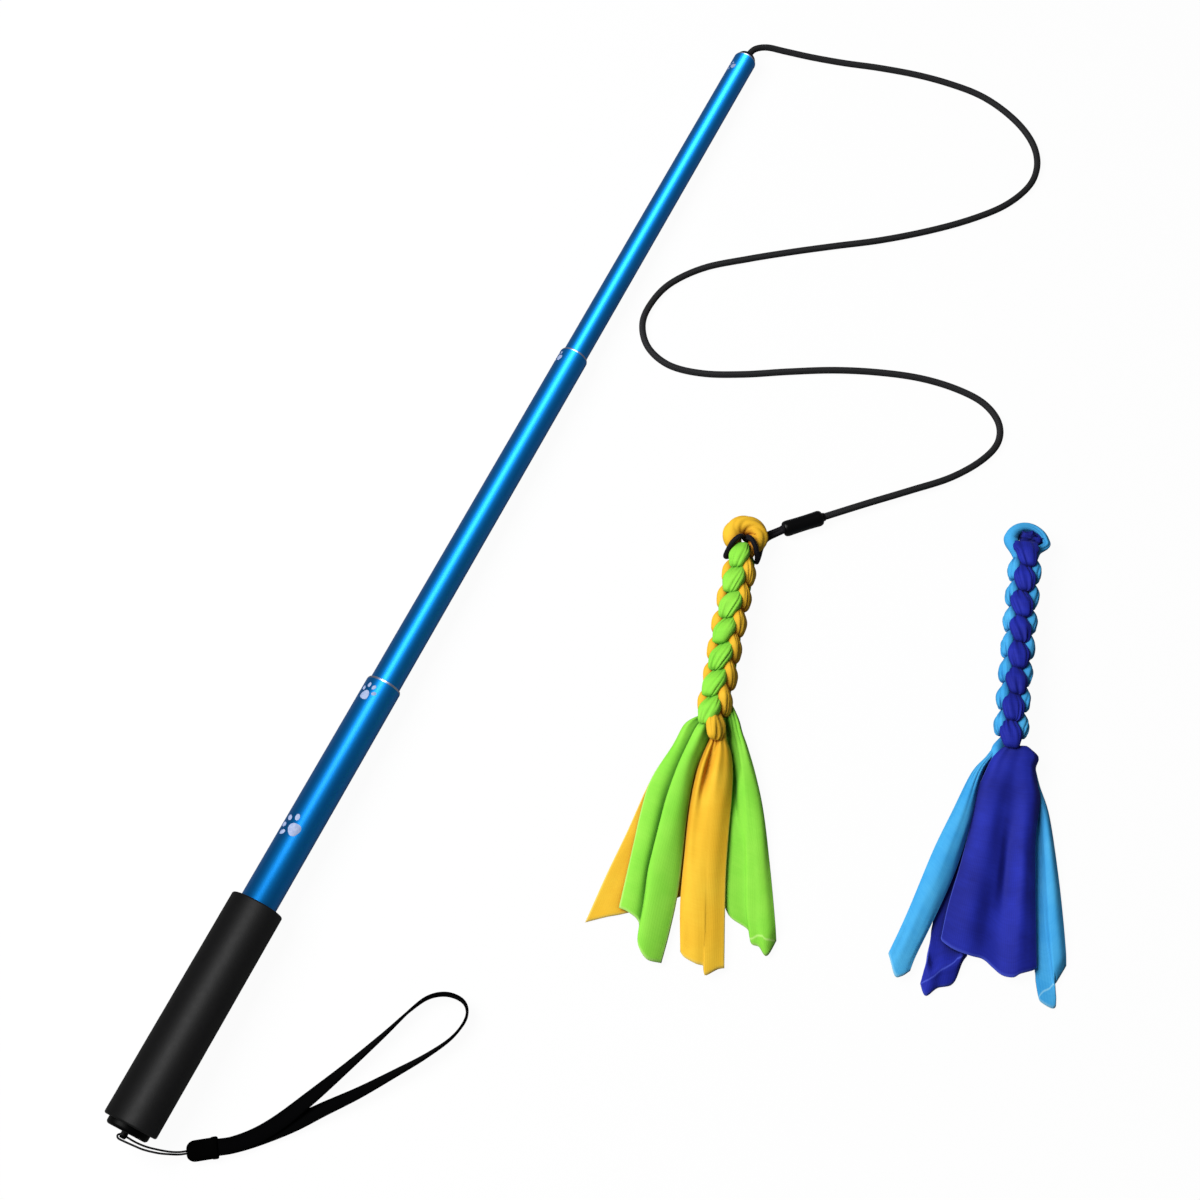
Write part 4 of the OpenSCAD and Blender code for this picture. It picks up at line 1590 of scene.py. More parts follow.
    def string(self) -> None:
        """Makes the thin string from the ferrule, through the lug's hole and back."""
        hole = LIE.pole.at(Handle.hole_at, 0.0, 0.0)
        low, high = Handle.lug_span
        far = -self.string_round
        steps = [(high + run, *sag) for run, sag in zip(self.string_runs, self.string_sags)]
        steps += [(high, 0, 0), ((low + high) / 2, 0, 0), (low, 0, 0), (low - self.string_turn, far / 2, 0),
                  (low, far, 0), (high, far, self.string_low)]
        steps += [(high + run, far + over, sag)
                  for run, (over, sag) in zip(reversed(self.string_runs), self.string_returns)]
        round_lug = [hole + Vector(step) * MM for step in steps]
        mid = self.ferrule_t / 2
        out = [self.at(d, self.string_half, mid + rise) for d, rise in self.string_strand]
        back = [self.at(d, -self.string_half, mid + rise) for d, rise in reversed(self.string_strand)]
        points = [LIE.laid(*p) for p in out + list(self.string_out)] + round_lug
        path = curve(points + [LIE.laid(*p) for p in list(self.string_back) + back], steps=10)
        form = tube(path, self.string_r * MM, sides=14)
        piece = settle(form.piece("lug_string", STRING_SHEATH), "strap", "cord_black", "strap_string")
        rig.cord(piece, exit=path[0], length=travelled(path)[-1], diameter=2 * self.string_r * MM,
                far_end="object", stiffness="limp", lay="hanging", path=path)

    def webbing(self) -> None:
        """Makes the webbing loop, which stands on edge where it turns back."""
        held = [self.at(self.ferrule_l - self.grip, 0, 0)[:2], self.at(self.ferrule_l, 0, 0)[:2]]
        points = [(*p, *self.held_out) for p in held] + list(self.webbing_route)
        points += [(*p, *self.held_back) for p in reversed(held)]
        turns = curve([Vector((*LIE.laid(*p[:3]), p[3])) for p in points], steps=12)
        path = [Vector(p[:3]) for p in turns]
        half_w, half_t = self.width / 2, self.thickness / 2
        corners = [(-half_w, -half_t), (half_w, -half_t), (half_w, half_t), (-half_w, half_t)]
        section = rounded(corners, half_t, steps=4)
        rings = []
        for point, way, spot in zip(path, headings(path), turns):
            left = UP.cross(way).normalized()
            top = way.cross(left)
            angle = math.radians(spot[3])
            across = left * math.cos(angle) + top * math.sin(angle)
            face = way.cross(across)
            rings.append([point + (across * a + face * b) * MM for a, b in section])
        lengths = travelled(path)
        form = Form()
        form.barrel(rings, along=lengths, end=lengths[-1])
        piece = settle(form.piece("webbing_loop", WEBBING, sharp=60), "strap", "webbing_black", "wrist_strap")
        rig.cord(piece, exit=path[0], length=lengths[-1], diameter=self.width * MM, far_end="object",
                stiffness="limp", lay="loose", path=path)


@dataclass(frozen=True)
class TailCut:
    """Outline and folds of one cloth tail, in its lure's frame, in millimetres.

    The sections give, at shares of the length, shares of the width and heights over the floor. The highlight
    line is a turned edge that gets a painted highlight, as shares of the width and of the length.
    """

    node: str
    dye: ClothFinish
    slot: str
    flat: Pair
    left: tuple[Pair, ...]
    right: tuple[Pair, ...]
    hem: tuple[Pair, ...]
    sections: tuple[tuple[float, tuple[Pair, ...]], ...]
    gather: float = 0.5
    highlight_line: tuple[Pair, ...] = ()


class Track:
    """A smooth line that can be asked for the point at a share of its length."""

    STEPS = 6

    def __init__(self, points: Sequence[Pair]) -> None:
        """Smooths the points."""
        self.path = curve([Vector(point) for point in points], self.STEPS)
        self.lengths = travelled(self.path)

    def at(self, share: float) -> Vector:
        """Point at a share of the length.

        Args:
            share: from 0 to 1.

        Returns:
            The point.
        """
        goal = min(max(share, 0.0), 1.0) * self.lengths[-1]
        i = min(bisect.bisect_left(self.lengths, goal, 1), len(self.lengths) - 1)
        span = self.lengths[i] - self.lengths[i - 1] or 1.0
        return self.path[i - 1].lerp(self.path[i], (goal - self.lengths[i - 1]) / span)


@dataclass(frozen=True)
class Crease:
    """A fold line in a strand: its place round it, slant, width, depth and reach from one end."""

    place: float
    slant: float
    width: float
    depth: float
    reach: float
    from_top: bool
    full_to: float = 0.15

    def dent(self, angle: float, share: float) -> float:
        """Depth of the fold at a place on the strand.

        Args:
            angle: round the strand.
            share: of its length.

        Returns:
            The depth.
        """
        gone = share if self.from_top else 1 - share
        line = self.place + self.slant * (share - 0.5)
        fade = ease(1 + self.full_to - gone / self.reach)
        return self.depth * fade * math.exp(-((angle - line) / self.width) ** 2)


@dataclass(frozen=True)
class Column:
    """One visible column of strands in a braid: its place round it, its crossings and their creases.

    The head is the first crossing's half width, and the last crossing may lie elsewhere round the braid.
    """

    degrees: float
    first: float
    count: int
    lean: float
    slant: float
    folds: int = 5
    head: float = 0.0
    last_degrees: float | None = None


@dataclass
class Lure:
    """A braided cloth lure: a folded knob, a round braid and four tails, in millimetres in its own frame.

    Pairs that a crease, a crossing or a fold draws from are the lowest and highest values.
    """

    name: str
    body: str
    at: Pair
    turn: float
    front: ClothFinish
    sides: ClothFinish
    front_slot: str
    side_slot: str
    front_columns: tuple[Column, ...]
    side_columns: tuple[Column, ...]
    tails: tuple[TailCut, ...]
    seed: int
    knob_twist: float
    knob_y: float
    pitch: float
    mid: float = 11.0
    cloth: float = 1.1
    rings: int = 26
    sides_round: int = 84
    girth: float = 5.5
    fullness: float = 0.8
    tuck: float = 0.22
    overlap: float = 1.03
    first_start: float = 0.2
    head_fade: Pair = (0.9, 0.5)
    wander: Pair = (-4.0, 4.0)
    swell: Pair = (0.96, 1.04)
    drift: Pair = (-0.4, 0.4)
    lean_play: Pair = (-5.0, 5.0)
    crease_margin: float = 0.1
    crease_place: Pair = (0.15, 0.85)
    crease_slant: Pair = (-0.25, 0.25)
    crease_width: Pair = (0.15, 0.22)
    crease_depth: Pair = (0.5, 1.1)
    crease_reach: Pair = (0.6, 1.2)
    crease_most: float = 0.5
    plump_shares: tuple[float, ...] = (0.0, 0.18, 0.52, 0.84, 0.96, 1.0)
    plump: tuple[Vector, ...] = (
        Vector((3.4, 1.6, 3.2)), Vector((4.3, 2.6, 4.4)), Vector((6.7, 4.3, 6.2)),
        Vector((5.3, 3.9, 6.2)), Vector((4.0, 2.6, 6.3)), Vector((2.4, 1.2, 6.3)))
    neck_end: float = -15.0
    neck_share: float = 0.9
    knob_reach: float = 14.4
    knob_band: Triple = (6.2, 6.3, 5.9)
    knob_band_shares: Triple = (0.2, 0.5, 0.8)
    knob_turns: range = range(175, 0, -17)
    knob_sides: int = 72
    knob_girth: float = 39.0
    knob_stem: tuple[Pair, ...] = ((-3.8, -12.0), (-5.2, -7.5), (-7.2, -3.4))
    knob_stem_r: float = 3.2
    knob_stem_share: float = 0.24
    knob_folds: int = 6
    knob_fold_place: Pair = (0.2, 0.8)
    knob_fold_width: Pair = (0.2, 0.34)
    knob_fold_depth: Pair = (0.1, 0.24)
    knob_fold_least: float = 0.15
    knob_fold_rise: Pair = (0.25, 0.4)
    eye: Pair | None = None
    eye_half: Triple = (10.0, 6.4, 3.4)
    eye_full: float = 1.05
    eye_scale: float = 1.7
    eye_seed: Triple = (4.0, 1.0, 7.0)
    eye_sides: int = 64
    eye_rings: int = 16
    eye_girth: float = 40.0
    tail_rows: int = 72
    tail_columns: int = 48
    pleats: float = 4.5
    pleat_end: float = 0.4
    ripple: float = 0.3
    ripple_scale: Pair = (6.0, 5.0)
    lie_gap: float = 0.05

    def build(self) -> None:
        """Makes the knob, the braid and the tails."""
        draw = random.Random(self.seed)
        self.knob(draw)
        if self.eye is not None:
            self.crumple(self.eye)
        self.braid(f"{self.name}_braid_front", self.front, self.front_slot, self.front_columns, draw,
                   f"{self.name}_braid")
        self.braid(f"{self.name}_braid_sides", self.sides, self.side_slot, self.side_columns, draw)
        for cut in self.tails:
            self.tail(cut, draw)

    def laid(self, x: float, y: float, height: float) -> Vector:
        """Point in the lure's frame, over the floor, in the row frame."""
        spot = turned((x, y), self.turn)
        return LIE.laid(self.at[0] + spot[0], self.at[1] + spot[1], height)

    def creases(self, draw: random.Random, column: Column) -> list[Crease]:
        """Draws the creases of one crossing.

        Args:
            draw: source of their unevenness.
            column: that the crossing is in.

        Returns:
            The creases.
        """
        found, span = [], 1 - 2 * self.crease_margin
        for number in range(column.folds):
            share = span * (number + draw.uniform(*self.crease_place)) / column.folds
            place = math.pi * (self.crease_margin + share)
            slant = column.slant + draw.uniform(*self.crease_slant)
            width, depth = draw.uniform(*self.crease_width), draw.uniform(*self.crease_depth)
            reach, from_top = draw.uniform(*self.crease_reach), draw.random() < 0.5
            found.append(Crease(place, slant, width, depth, reach, from_top))
        return found

    def braid(self, name: str, finish: ClothFinish, slot: str, columns: Sequence[Column],
              draw: random.Random, *nodes: str) -> None:
        """Makes the columns of one colour.

        Args:
            name: of the piece.
            finish: its cloth.
            slot: its material slot.
            columns: of strands that show.
            draw: source of the uneven folds.
            nodes: solids that the piece stands for.
        """
        form = Form()
        for column in columns:
            self.column(form, column, draw)
        settle(form.piece(name, finish), self.body, slot, *nodes)

    def column(self, form: Form, column: Column, draw: random.Random) -> None:
        """Adds one column of crossings, each a plump strand that comes up from under the one before it.

        Args:
            form: that it is added to.
            column: its place and crossings.
            draw: source of its unevenness.
        """
        # Three quarters of the points go round the half of a strand that shows.
        count, upper = self.sides_round, self.sides_round * 3 // 4
        angles = [math.pi * k / upper for k in range(upper)]
        angles += [math.pi * (1 + k / (count - upper)) for k in range(count - upper)]
        across = [angle * self.girth * MM for angle in angles + [math.tau]]
        for bead in range(column.count):
            middle = column.first - self.pitch * bead
            last = bead == column.count - 1 and column.last_degrees is not None
            degrees = column.last_degrees if last else column.degrees + draw.uniform(*self.wander)
            folds = self.creases(draw, column)
            size, shift = draw.uniform(*self.swell), draw.uniform(*self.drift)
            lean = math.tan(math.radians(column.lean + draw.uniform(*self.lean_play)))
            start = 0.0 if bead else self.first_start
            rings, along = [], []
            for number in range(self.rings + 1):
                t = start + (1 - start) * number / self.rings
                y = middle + self.pitch * (0.5 + self.tuck - (self.overlap + self.tuck) * t)
                half_w, half_h, out = through(self.plump_shares, self.plump, t)
                if not bead:
                    half_w = max(half_w, column.head * ease((self.head_fade[0] - t) / self.head_fade[1]))
                ring = []
                for angle in angles:
                    side = blunted(math.cos(angle), self.fullness) * half_w * size
                    lift = blunted(math.sin(angle), self.fullness) * half_h * size
                    if angle < math.pi:
                        dent = min(sum(fold.dent(angle, t) for fold in folds), self.crease_most * half_h)
                        side, lift = side - dent * math.cos(angle), lift - dent * math.sin(angle)
                    ring.append(self.round_braid(y, side + shift + lean * (y - middle), out + lift, degrees))
                rings.append(ring)
                along.append(-y * MM)
            form.barrel(rings, across, along)

    def round_braid(self, y: float, side: float, out: float, degrees: float) -> Vector:
        """Point at a place round the braid, drawn in at the neck.

        Args:
            y: its place along the braid.
            side: how far it is beside its column's middle.
            out: how far it is from the braid's axis.
            degrees: the column's place round the braid.

        Returns:
            The point.
        """
        squeeze = self.neck_share + (1 - self.neck_share) * ease(y / self.neck_end)
        cos, sin = math.cos(math.radians(degrees)), math.sin(math.radians(degrees))
        return self.laid((side * sin + out * cos) * squeeze, y, self.mid + (out * sin - side * cos) * squeeze)

    def knob(self, draw: random.Random) -> None:
        """Makes the knob: the cloth folded over the end of the braid, with twisted creases.

        Args:
            draw: source of the creases.
        """
        band = [Vector((half, 0.0)) for half in self.knob_band]
        arch = []
        for degrees in self.knob_turns:
            angle = math.radians(degrees)
            reach = self.knob_reach - through((0.0, 90.0, 180.0), band[::-1], degrees)[0]
            arch.append((reach * math.cos(angle), self.knob_y + reach * math.sin(angle)))
        left = [(x, self.knob_y + y) for x, y in self.knob_stem]
        right = [(-x, y) for x, y in reversed(left)]
        spots = curve([Vector((x, y, self.mid)) for x, y in left + arch + right], steps=8)
        lengths = travelled(spots)
        folds = [(math.tau * (k + draw.uniform(*self.knob_fold_place)) / self.knob_folds,
                  draw.uniform(*self.knob_fold_width), draw.uniform(*self.knob_fold_depth))
                 for k in range(self.knob_folds)]
        rings = []
        for spot, way, length in zip(spots, headings(spots), lengths):
            share = length / lengths[-1]
            side = UP.cross(way).normalized()
            full = ease(min(share, 1 - share) / self.knob_stem_share)
            most = through(self.knob_band_shares, band, share)[0]
            radius = self.knob_stem_r + (most - self.knob_stem_r) * full
            start, rise = self.knob_fold_rise
            depth_share = self.knob_fold_least + (1 - self.knob_fold_least) * ease((share - start) / rise)
            ring = []
            for angle in round_angles(self.knob_sides):
                turn = angle + self.knob_twist * (share - 0.5)
                dent = sum(depth * math.exp(-(math.remainder(turn - place, math.tau) / width) ** 2)
                           for place, width, depth in folds)
                reach = radius * (1 - dent * depth_share)
                point = spot + side * (reach * math.cos(angle)) + UP * (reach * math.sin(angle))
                ring.append(self.laid(*point))
            rings.append(ring)
        form = Form()
        form.barrel(rings, [k / self.knob_sides * self.knob_girth * MM for k in range(self.knob_sides + 1)],
                    [length * MM for length in lengths])
        piece = form.piece(f"{self.name}_knob_fold", self.sides)
        settle(piece, self.body, self.side_slot, f"{self.name}_knob")

    def crumple(self, middle: Pair) -> None:
        """Makes the crumpled end of the front cloth that shows in the knob's eye.

        Args:
            middle: of the crumple.
        """
        rings = []
        for number in range(1, self.eye_rings):
            tilt = math.pi * (number / self.eye_rings - 0.5)
            ring = []
            for angle in round_angles(self.eye_sides):
                ball = Vector((math.cos(tilt) * math.cos(angle), math.cos(tilt) * math.sin(angle),
                               math.sin(tilt)))
                fold = self.eye_full - abs(noise.noise(ball * self.eye_scale + Vector(self.eye_seed)))
                spot = [half * part * fold for half, part in zip(self.eye_half, ball)]
                ring.append(self.laid(middle[0] + spot[0], middle[1] + spot[1], self.mid + spot[2]))
            rings.append(ring)
        form = Form()
        form.barrel(rings, [k / self.eye_sides * self.eye_girth * MM for k in range(self.eye_sides + 1)],
                    [k * MM for k in range(self.eye_rings)])
        settle(form.piece(f"{self.name}_eye_fold", self.front), self.body, self.front_slot)

    def tail(self, cut: TailCut, draw: random.Random) -> None:
        """Makes one tail as a folded sheet of cloth.

        Args:
            cut: its outline and folds.
            draw: source of its small unevenness.
        """
        left, right, hem = Track(cut.left), Track(cut.right), Track(cut.hem)

        def plan(u: float, q: float) -> Vector:
            """Point inside the outline, blended from its four sides.

            Args:
                u: share of the length.
                q: share of the width.

            Returns:
                The point on the floor.
            """
            top = left.at(0).lerp(right.at(0), q)
            corner = left.at(0) * ((1 - u) * (1 - q)) + right.at(0) * ((1 - u) * q)
            corner += left.at(1) * (u * (1 - q)) + right.at(1) * (u * q)
            return left.at(u) * (1 - q) + right.at(u) * q + top * (1 - u) + hem.at(q) * u - corner

        rows, columns = self.tail_rows, self.tail_columns
        stations = [share for share, _ in cut.sections]
        lines = [curve([Vector(point) for point in line], columns) for _, line in cut.sections]
        gaps = len(cut.sections[0][1]) - 1
        seed, pleat = draw.uniform(0, 50), draw.uniform(0, math.tau)
        widths = [j / columns for j in range(columns + 1)]
        surface = []
        for i in range(rows + 1):
            u, row = i / rows, []
            for j, v in enumerate(widths):
                q, height = through(stations, [line[j * gaps] for line in lines], u)
                gathered = cut.gather * math.sin(pleat + v * math.tau * self.pleats)
                height += gathered * (1 - ease(u / self.pleat_end))
                place = Vector((v * self.ripple_scale[0] + seed, u * self.ripple_scale[1], seed))
                height += self.ripple * noise.noise(place)
                row.append(self.laid(*plan(u, q), max(height, self.cloth / 2 + self.lie_gap)))
            surface.append(row)
        wide, long = cut.flat
        highlight_line = [long * height_on(cut.highlight_line, v) for v in widths] if cut.highlight_line else ()
        form = Form()
        form.cloth(surface, self.cloth * MM, [wide * j / columns for j in range(columns + 1)],
                   [long * i / rows for i in range(rows + 1)], highlight_line)
        piece = form.piece(f"{cut.node}_cloth", cut.dye)
        settle(piece, self.body, cut.slot, cut.node)
        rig.sheet(piece, flat=cut.flat, held="gathered", rests_on=[f"{self.name}_braid_front"])


LURE_TAILS = (
    TailCut("lure_tail_yellow_left", YELLOW, "cloth_yellow", (0.03, 0.132),
            ((-8, -118.5), (-17, -135), (-28.5, -155), (-37, -191), (-44, -219), (-50.5, -248)),
            ((2, -118.5), (0, -150), (0, -190), (1.5, -222)),
            ((-50.5, -248), (-40, -243), (-29, -238.5), (-10, -229), (1.5, -222)),
            ((0, ((0, 3), (.25, 4), (.5, 3.4), (.75, 4), (1, 3))),
             (.35, ((0, .8), (.25, 1.2), (.5, .9), (.75, 1.1), (1, .8))),
             (1, ((0, .8), (.25, 1.1), (.5, .8), (.75, .9), (1, .8)))), 0.3),
    TailCut("lure_tail_green_left", GREEN, "cloth_green", (0.036, 0.145),
            ((-9, -116), (-15.5, -121.5), (-20, -135), (-28.5, -156), (-31, -173), (-32, -205),
             (-33, -236.5)),
            ((0.5, -117), (-0.5, -130), (-4.5, -149), (-4.5, -175), (-1.5, -218.5), (-2, -244.5),
             (-3.5, -263)),
            ((-33, -236.5), (-26.5, -238.5), (-20, -243), (-18.5, -255.5), (-12, -263), (-3.5, -263)),
            ((0, ((0, 9), (.1, 11), (.2, 12), (.35, 11), (.5, 10.5), (.52, 12), (.5, 13.5), (.6, 15),
                  (.75, 15.5), (.9, 14), (1, 11))),
             (.12, ((0, 6.5), (.1, 9), (.22, 10), (.38, 8.4), (.6, 6), (.56, 9), (.46, 11.5), (.58, 13.2),
                    (.75, 13), (.9, 11), (1, 8))),
             (.4, ((0, 3.2), (.1, 4.4), (.25, 5), (.42, 3.6), (.66, 1.8), (.58, 4.6), (.49, 7), (.54, 8.4),
                   (.78, 9), (.92, 7), (1, 4))),
             (.75, ((0, 2.9), (.08, 4.4), (.2, 4.8), (.3, 3), (.45, 1.8), (.37, 4.2), (.3, 6.2), (.36, 7.4),
                    (.65, 8), (.86, 6.6), (1, 4))),
             (1, ((0, 3.4), (.1, 4.4), (.22, 4.2), (.32, 3), (.42, 2.2), (.41, 3.4), (.4, 4.6), (.52, 6.2),
                  (.72, 6.8), (.88, 5.4), (1, 3.2))))),
    TailCut("lure_tail_yellow_centre", YELLOW, "cloth_yellow", (0.027, 0.141),
            ((2, -119), (1.5, -127.5), (-1, -137), (-3, -148.5), (-3.5, -169), (-1.5, -198), (1, -226),
             (6, -254.5)),
            ((8.5, -119), (10.5, -127), (14.5, -134), (17.5, -144.5), (19.5, -159.5), (21.5, -182.5),
             (24.5, -210), (32, -259)),
            ((6, -254.5), (9, -257.5), (16, -260), (20.5, -260.5), (22, -265.5), (28.5, -260.5), (32, -259)),
            ((0, ((0, 12), (.12, 13.5), (.26, 12.8), (.45, 13.4), (.75, 13), (1, 11.5))),
             (.08, ((0, 10), (.12, 13.5), (.26, 13), (.45, 13.5), (.75, 13.5), (1, 9))),
             (.2, ((0, 7), (.12, 10.5), (.26, 6.5), (.45, 11), (.75, 10), (1, 5.5))),
             (.35, ((0, 4.5), (.12, 7), (.26, 6.4), (.45, 8.4), (.75, 7.8), (1, 4))),
             (.7, ((0, 3.2), (.12, 5.2), (.3, 6.6), (.5, 6.8), (.75, 6.2), (1, 4))),
             (1, ((0, 3), (.12, 4), (.3, 5), (.5, 5), (.75, 4.6), (1, 3.2))))),
    TailCut("lure_tail_green_right", GREEN, "cloth_green", (0.0295, 0.124),
            ((4, -105), (8, -116), (11, -125), (15, -140.5), (17, -159), (18, -182), (20, -207),
             (26, -221.5)),
            ((10.5, -104), (15.5, -112.5), (19, -120), (23.5, -128), (31, -144), (39.5, -166),
             (49, -199), (58.5, -237.5)),
            ((26, -221.5), (30.5, -229), (42, -234.5), (45, -242), (49.5, -243), (54.5, -247.5),
             (58.5, -237.5)),
            ((0, ((0, 9), (.2, 10), (.4, 9.5), (.62, 10), (.85, 9), (1, 7))),
             (.1, ((0, 3), (.2, 6.5), (.38, 9.6), (.62, 10.6), (.85, 10.8), (1, 9.4))),
             (.22, ((0, 1.2), (.15, 1.4), (.3, 5.4), (.6, 9), (.85, 9), (1, 7))),
             (.38, ((0, 5), (.13, 1.2), (.27, .8), (.37, 7.2), (.85, 7.8), (1, 5.4))),
             (.52, ((0, 1), (.15, 1.3), (.28, 2), (.42, 4.8), (.85, 6.4), (1, 3.8))),
             (.68, ((0, .8), (.25, 1.6), (.45, 3), (.65, 5.2), (.85, 5.2), (1, 2.4))),
             (.93, ((0, 1.2), (.25, 2), (.45, 2.8), (.65, 4.4), (.85, 5.8), (1, 3.6))),
             (1, ((0, .9), (.25, 1.2), (.45, 1.6), (.65, 2.2), (.85, 2.8), (1, 1.6)))),
            highlight_line=((0, 1.03), (.46, 1.03), (.48, .99), (.71, .931), (.97, 1), (1, 1.02))),
)
SPARE_TAILS = (
    TailCut("spare_tail_dark_left", DARK_BLUE, "cloth_dark_blue", (0.02, 0.142),
            ((-6, -137), (-16, -152), (-21, -180), (-28, -212), (-33, -243), (-33.5, -254), (-36.5, -278.5)),
            ((-3, -134), (-6, -190), (-9, -225), (-12, -258.5)),
            ((-36.5, -278.5), (-33, -285), (-27, -279.5), (-18.5, -275.5), (-14.5, -263), (-12, -258.5)),
            ((0, ((0, 3), (.25, 4), (.5, 3.4), (.75, 4), (1, 3))),
             (.3, ((0, .8), (.25, 1.2), (.5, .9), (.75, 1.1), (1, .8))),
             (.86, ((0, .8), (.25, 1), (.5, .9), (.75, .9), (1, .8))),
             (.92, ((0, 4.4), (.25, 4.8), (.5, 4.8), (.75, 4.4), (1, 3.4))),
             (.95, ((0, 3.2), (.25, 3.4), (.5, 3.4), (.75, 3.2), (1, 2.6))),
             (1, ((0, .8), (.25, 1), (.5, 1), (.75, .9), (1, .8)))), 0.3,
            ((0, 1), (.06, .986), (.19, .934), (.4, .929), (.58, .903), (.81, .944), (1, .99))),
    TailCut("spare_tail_light_left", LIGHT_BLUE, "cloth_light_blue", (0.0185, 0.14),
            ((-9, -134.5), (-12.5, -140.5), (-19.5, -151), (-28.5, -176.5), (-37.5, -202.5), (-48, -239.5),
             (-56.5, -265)),
            ((-4, -135), (-10, -142), (-14, -152.5), (-17, -179), (-24, -212.5), (-33.5, -242.5),
             (-41, -263.5), (-43.5, -273)),
            ((-56.5, -265), (-52, -277), (-48, -277), (-43.5, -273)),
            ((0, ((0, 7), (.25, 9.5), (.5, 10), (.75, 9.5), (1, 8))),
             (.2, ((0, 4), (.2, 8), (.5, 9.5), (.8, 8), (1, 4.5))),
             (.6, ((0, 3.4), (.2, 6.2), (.5, 7.6), (.8, 6), (1, 3.6))),
             (1, ((0, 3.4), (.2, 4.6), (.5, 5), (.8, 4.4), (1, 3.4))))),
    TailCut("spare_tail_dark_centre", DARK_BLUE, "cloth_dark_blue", (0.045, 0.133),
            ((-3.5, -134.5), (-9, -141), (-12.5, -151), (-16, -163.5), (-17.5, -183.5), (-21, -207),
             (-25.5, -230.5), (-28, -251.5)),
            ((11, -132.5), (17.5, -136.5), (16.5, -143), (18.5, -152), (21, -161), (20.5, -182.5), (22, -205),
             (25, -238.5), (27, -259)),
            ((-28, -251.5), (-26.5, -253.5), (-20, -257), (-11, -259), (-3.5, -259.5), (2, -263),
             (8, -267), (14, -267.5), (17.5, -265), (24.5, -261.5), (27, -259)),
            ((0, ((0, 14), (.12, 16), (.28, 16.4), (.45, 16.6), (.62, 16.6), (.78, 16.6), (.9, 15), (1, 12))),
             (.1, ((0, 10), (.12, 13.2), (.28, 14.2), (.45, 14.6), (.62, 14.8), (.78, 15), (.9, 13.4),
                   (1, 9))),
             (.35, ((0, 5), (.1, 8), (.28, 10.4), (.45, 8.4), (.6, 8), (.78, 10.8), (.9, 9.4), (1, 5))),
             (.6, ((0, 3.8), (.1, 5.8), (.28, 8.4), (.45, 6.4), (.6, 3.6), (.78, 9.4), (.9, 8), (1, 4))),
             (.8, ((0, 3.6), (.1, 5.2), (.28, 7.6), (.45, 4.2), (.6, 4.4), (.78, 8.6), (.9, 7.2), (1, 3.8))),
             (1, ((0, 3.6), (.1, 4.6), (.28, 5.6), (.45, 4.2), (.6, 4.4), (.78, 7), (.9, 6),
                  (1, 3.6)))), 0.2),
    TailCut("spare_tail_light_right", LIGHT_BLUE, "cloth_light_blue", (0.019, 0.14),
            ((8, -134), (14, -150), (19, -192), (22, -237), (30, -274.5)),
            ((15, -134), (20, -150), (27, -166.5), (33, -191), (38.5, -218.5), (44, -254.5)),
            ((30, -274.5), (31.5, -277.5), (39.5, -279.5), (38, -267.5), (39, -265), (44, -254.5)),
            ((0, ((0, 4), (.3, 5.4), (.55, 5), (.8, 5.6), (1, 4))),
             (.3, ((0, .9), (.3, 1.2), (.55, 2.6), (.8, 5.4), (1, 2.6))),
             (.65, ((0, .8), (.3, 1.1), (.55, 2.8), (.8, 5), (1, 2))),
             (.93, ((0, 1.2), (.3, 2.2), (.55, 4), (.8, 5.2), (1, 2.6))),
             (1, ((0, .9), (.3, 1.1), (.55, 1.6), (.8, 2), (1, 1.1)))),
            highlight_line=((0, 1.02), (.1, .968), (.15, .946), (.25, .919), (.3, .921), (.38, .944), (.43, 1.03),
                       (1, 1.03))),
)


class Link(Enum):
    """Which pieces a lamp lights: the linked ones alone, or all but those."""

    ONLY = "INCLUDE"
    ALL_BUT = "EXCLUDE"


@dataclass(frozen=True)
class Lamp:
    """A soft lamp.

    Its place and the place it faces are in millimetres, with y from the butt and z over the floor. Its
    panel's size is in metres and its power in watts.
    """

    name: str
    at: Triple
    aim: Triple
    size: Pair
    power: float
    link: Link

    def build(self, pieces: Sequence[Piece]) -> None:
        """Makes the lamp.

        Args:
            pieces: that it is linked with.
        """
        data = bpy.data.lights.new(self.name, "AREA")
        data.shape, data.energy = "RECTANGLE", self.power
        data.size, data.size_y = self.size
        lamp = bpy.data.objects.new(self.name, data)
        lamp.location = LIE.laid(*self.at)
        back = (lamp.location - LIE.laid(*self.aim)).normalized()
        long = (AHEAD - back * back.dot(AHEAD)).normalized()
        lamp.rotation_euler = Matrix((long.cross(back), long, back)).transposed().to_euler()
        bpy.context.scene.collection.objects.link(lamp)
        linked = bpy.data.collections.new(f"{self.name}_links")
        for piece in pieces:
            linked.objects.link(piece)
        for entry in linked.collection_objects:
            entry.light_linking.link_state = self.link.value
        lamp.light_linking.receiver_collection = linked


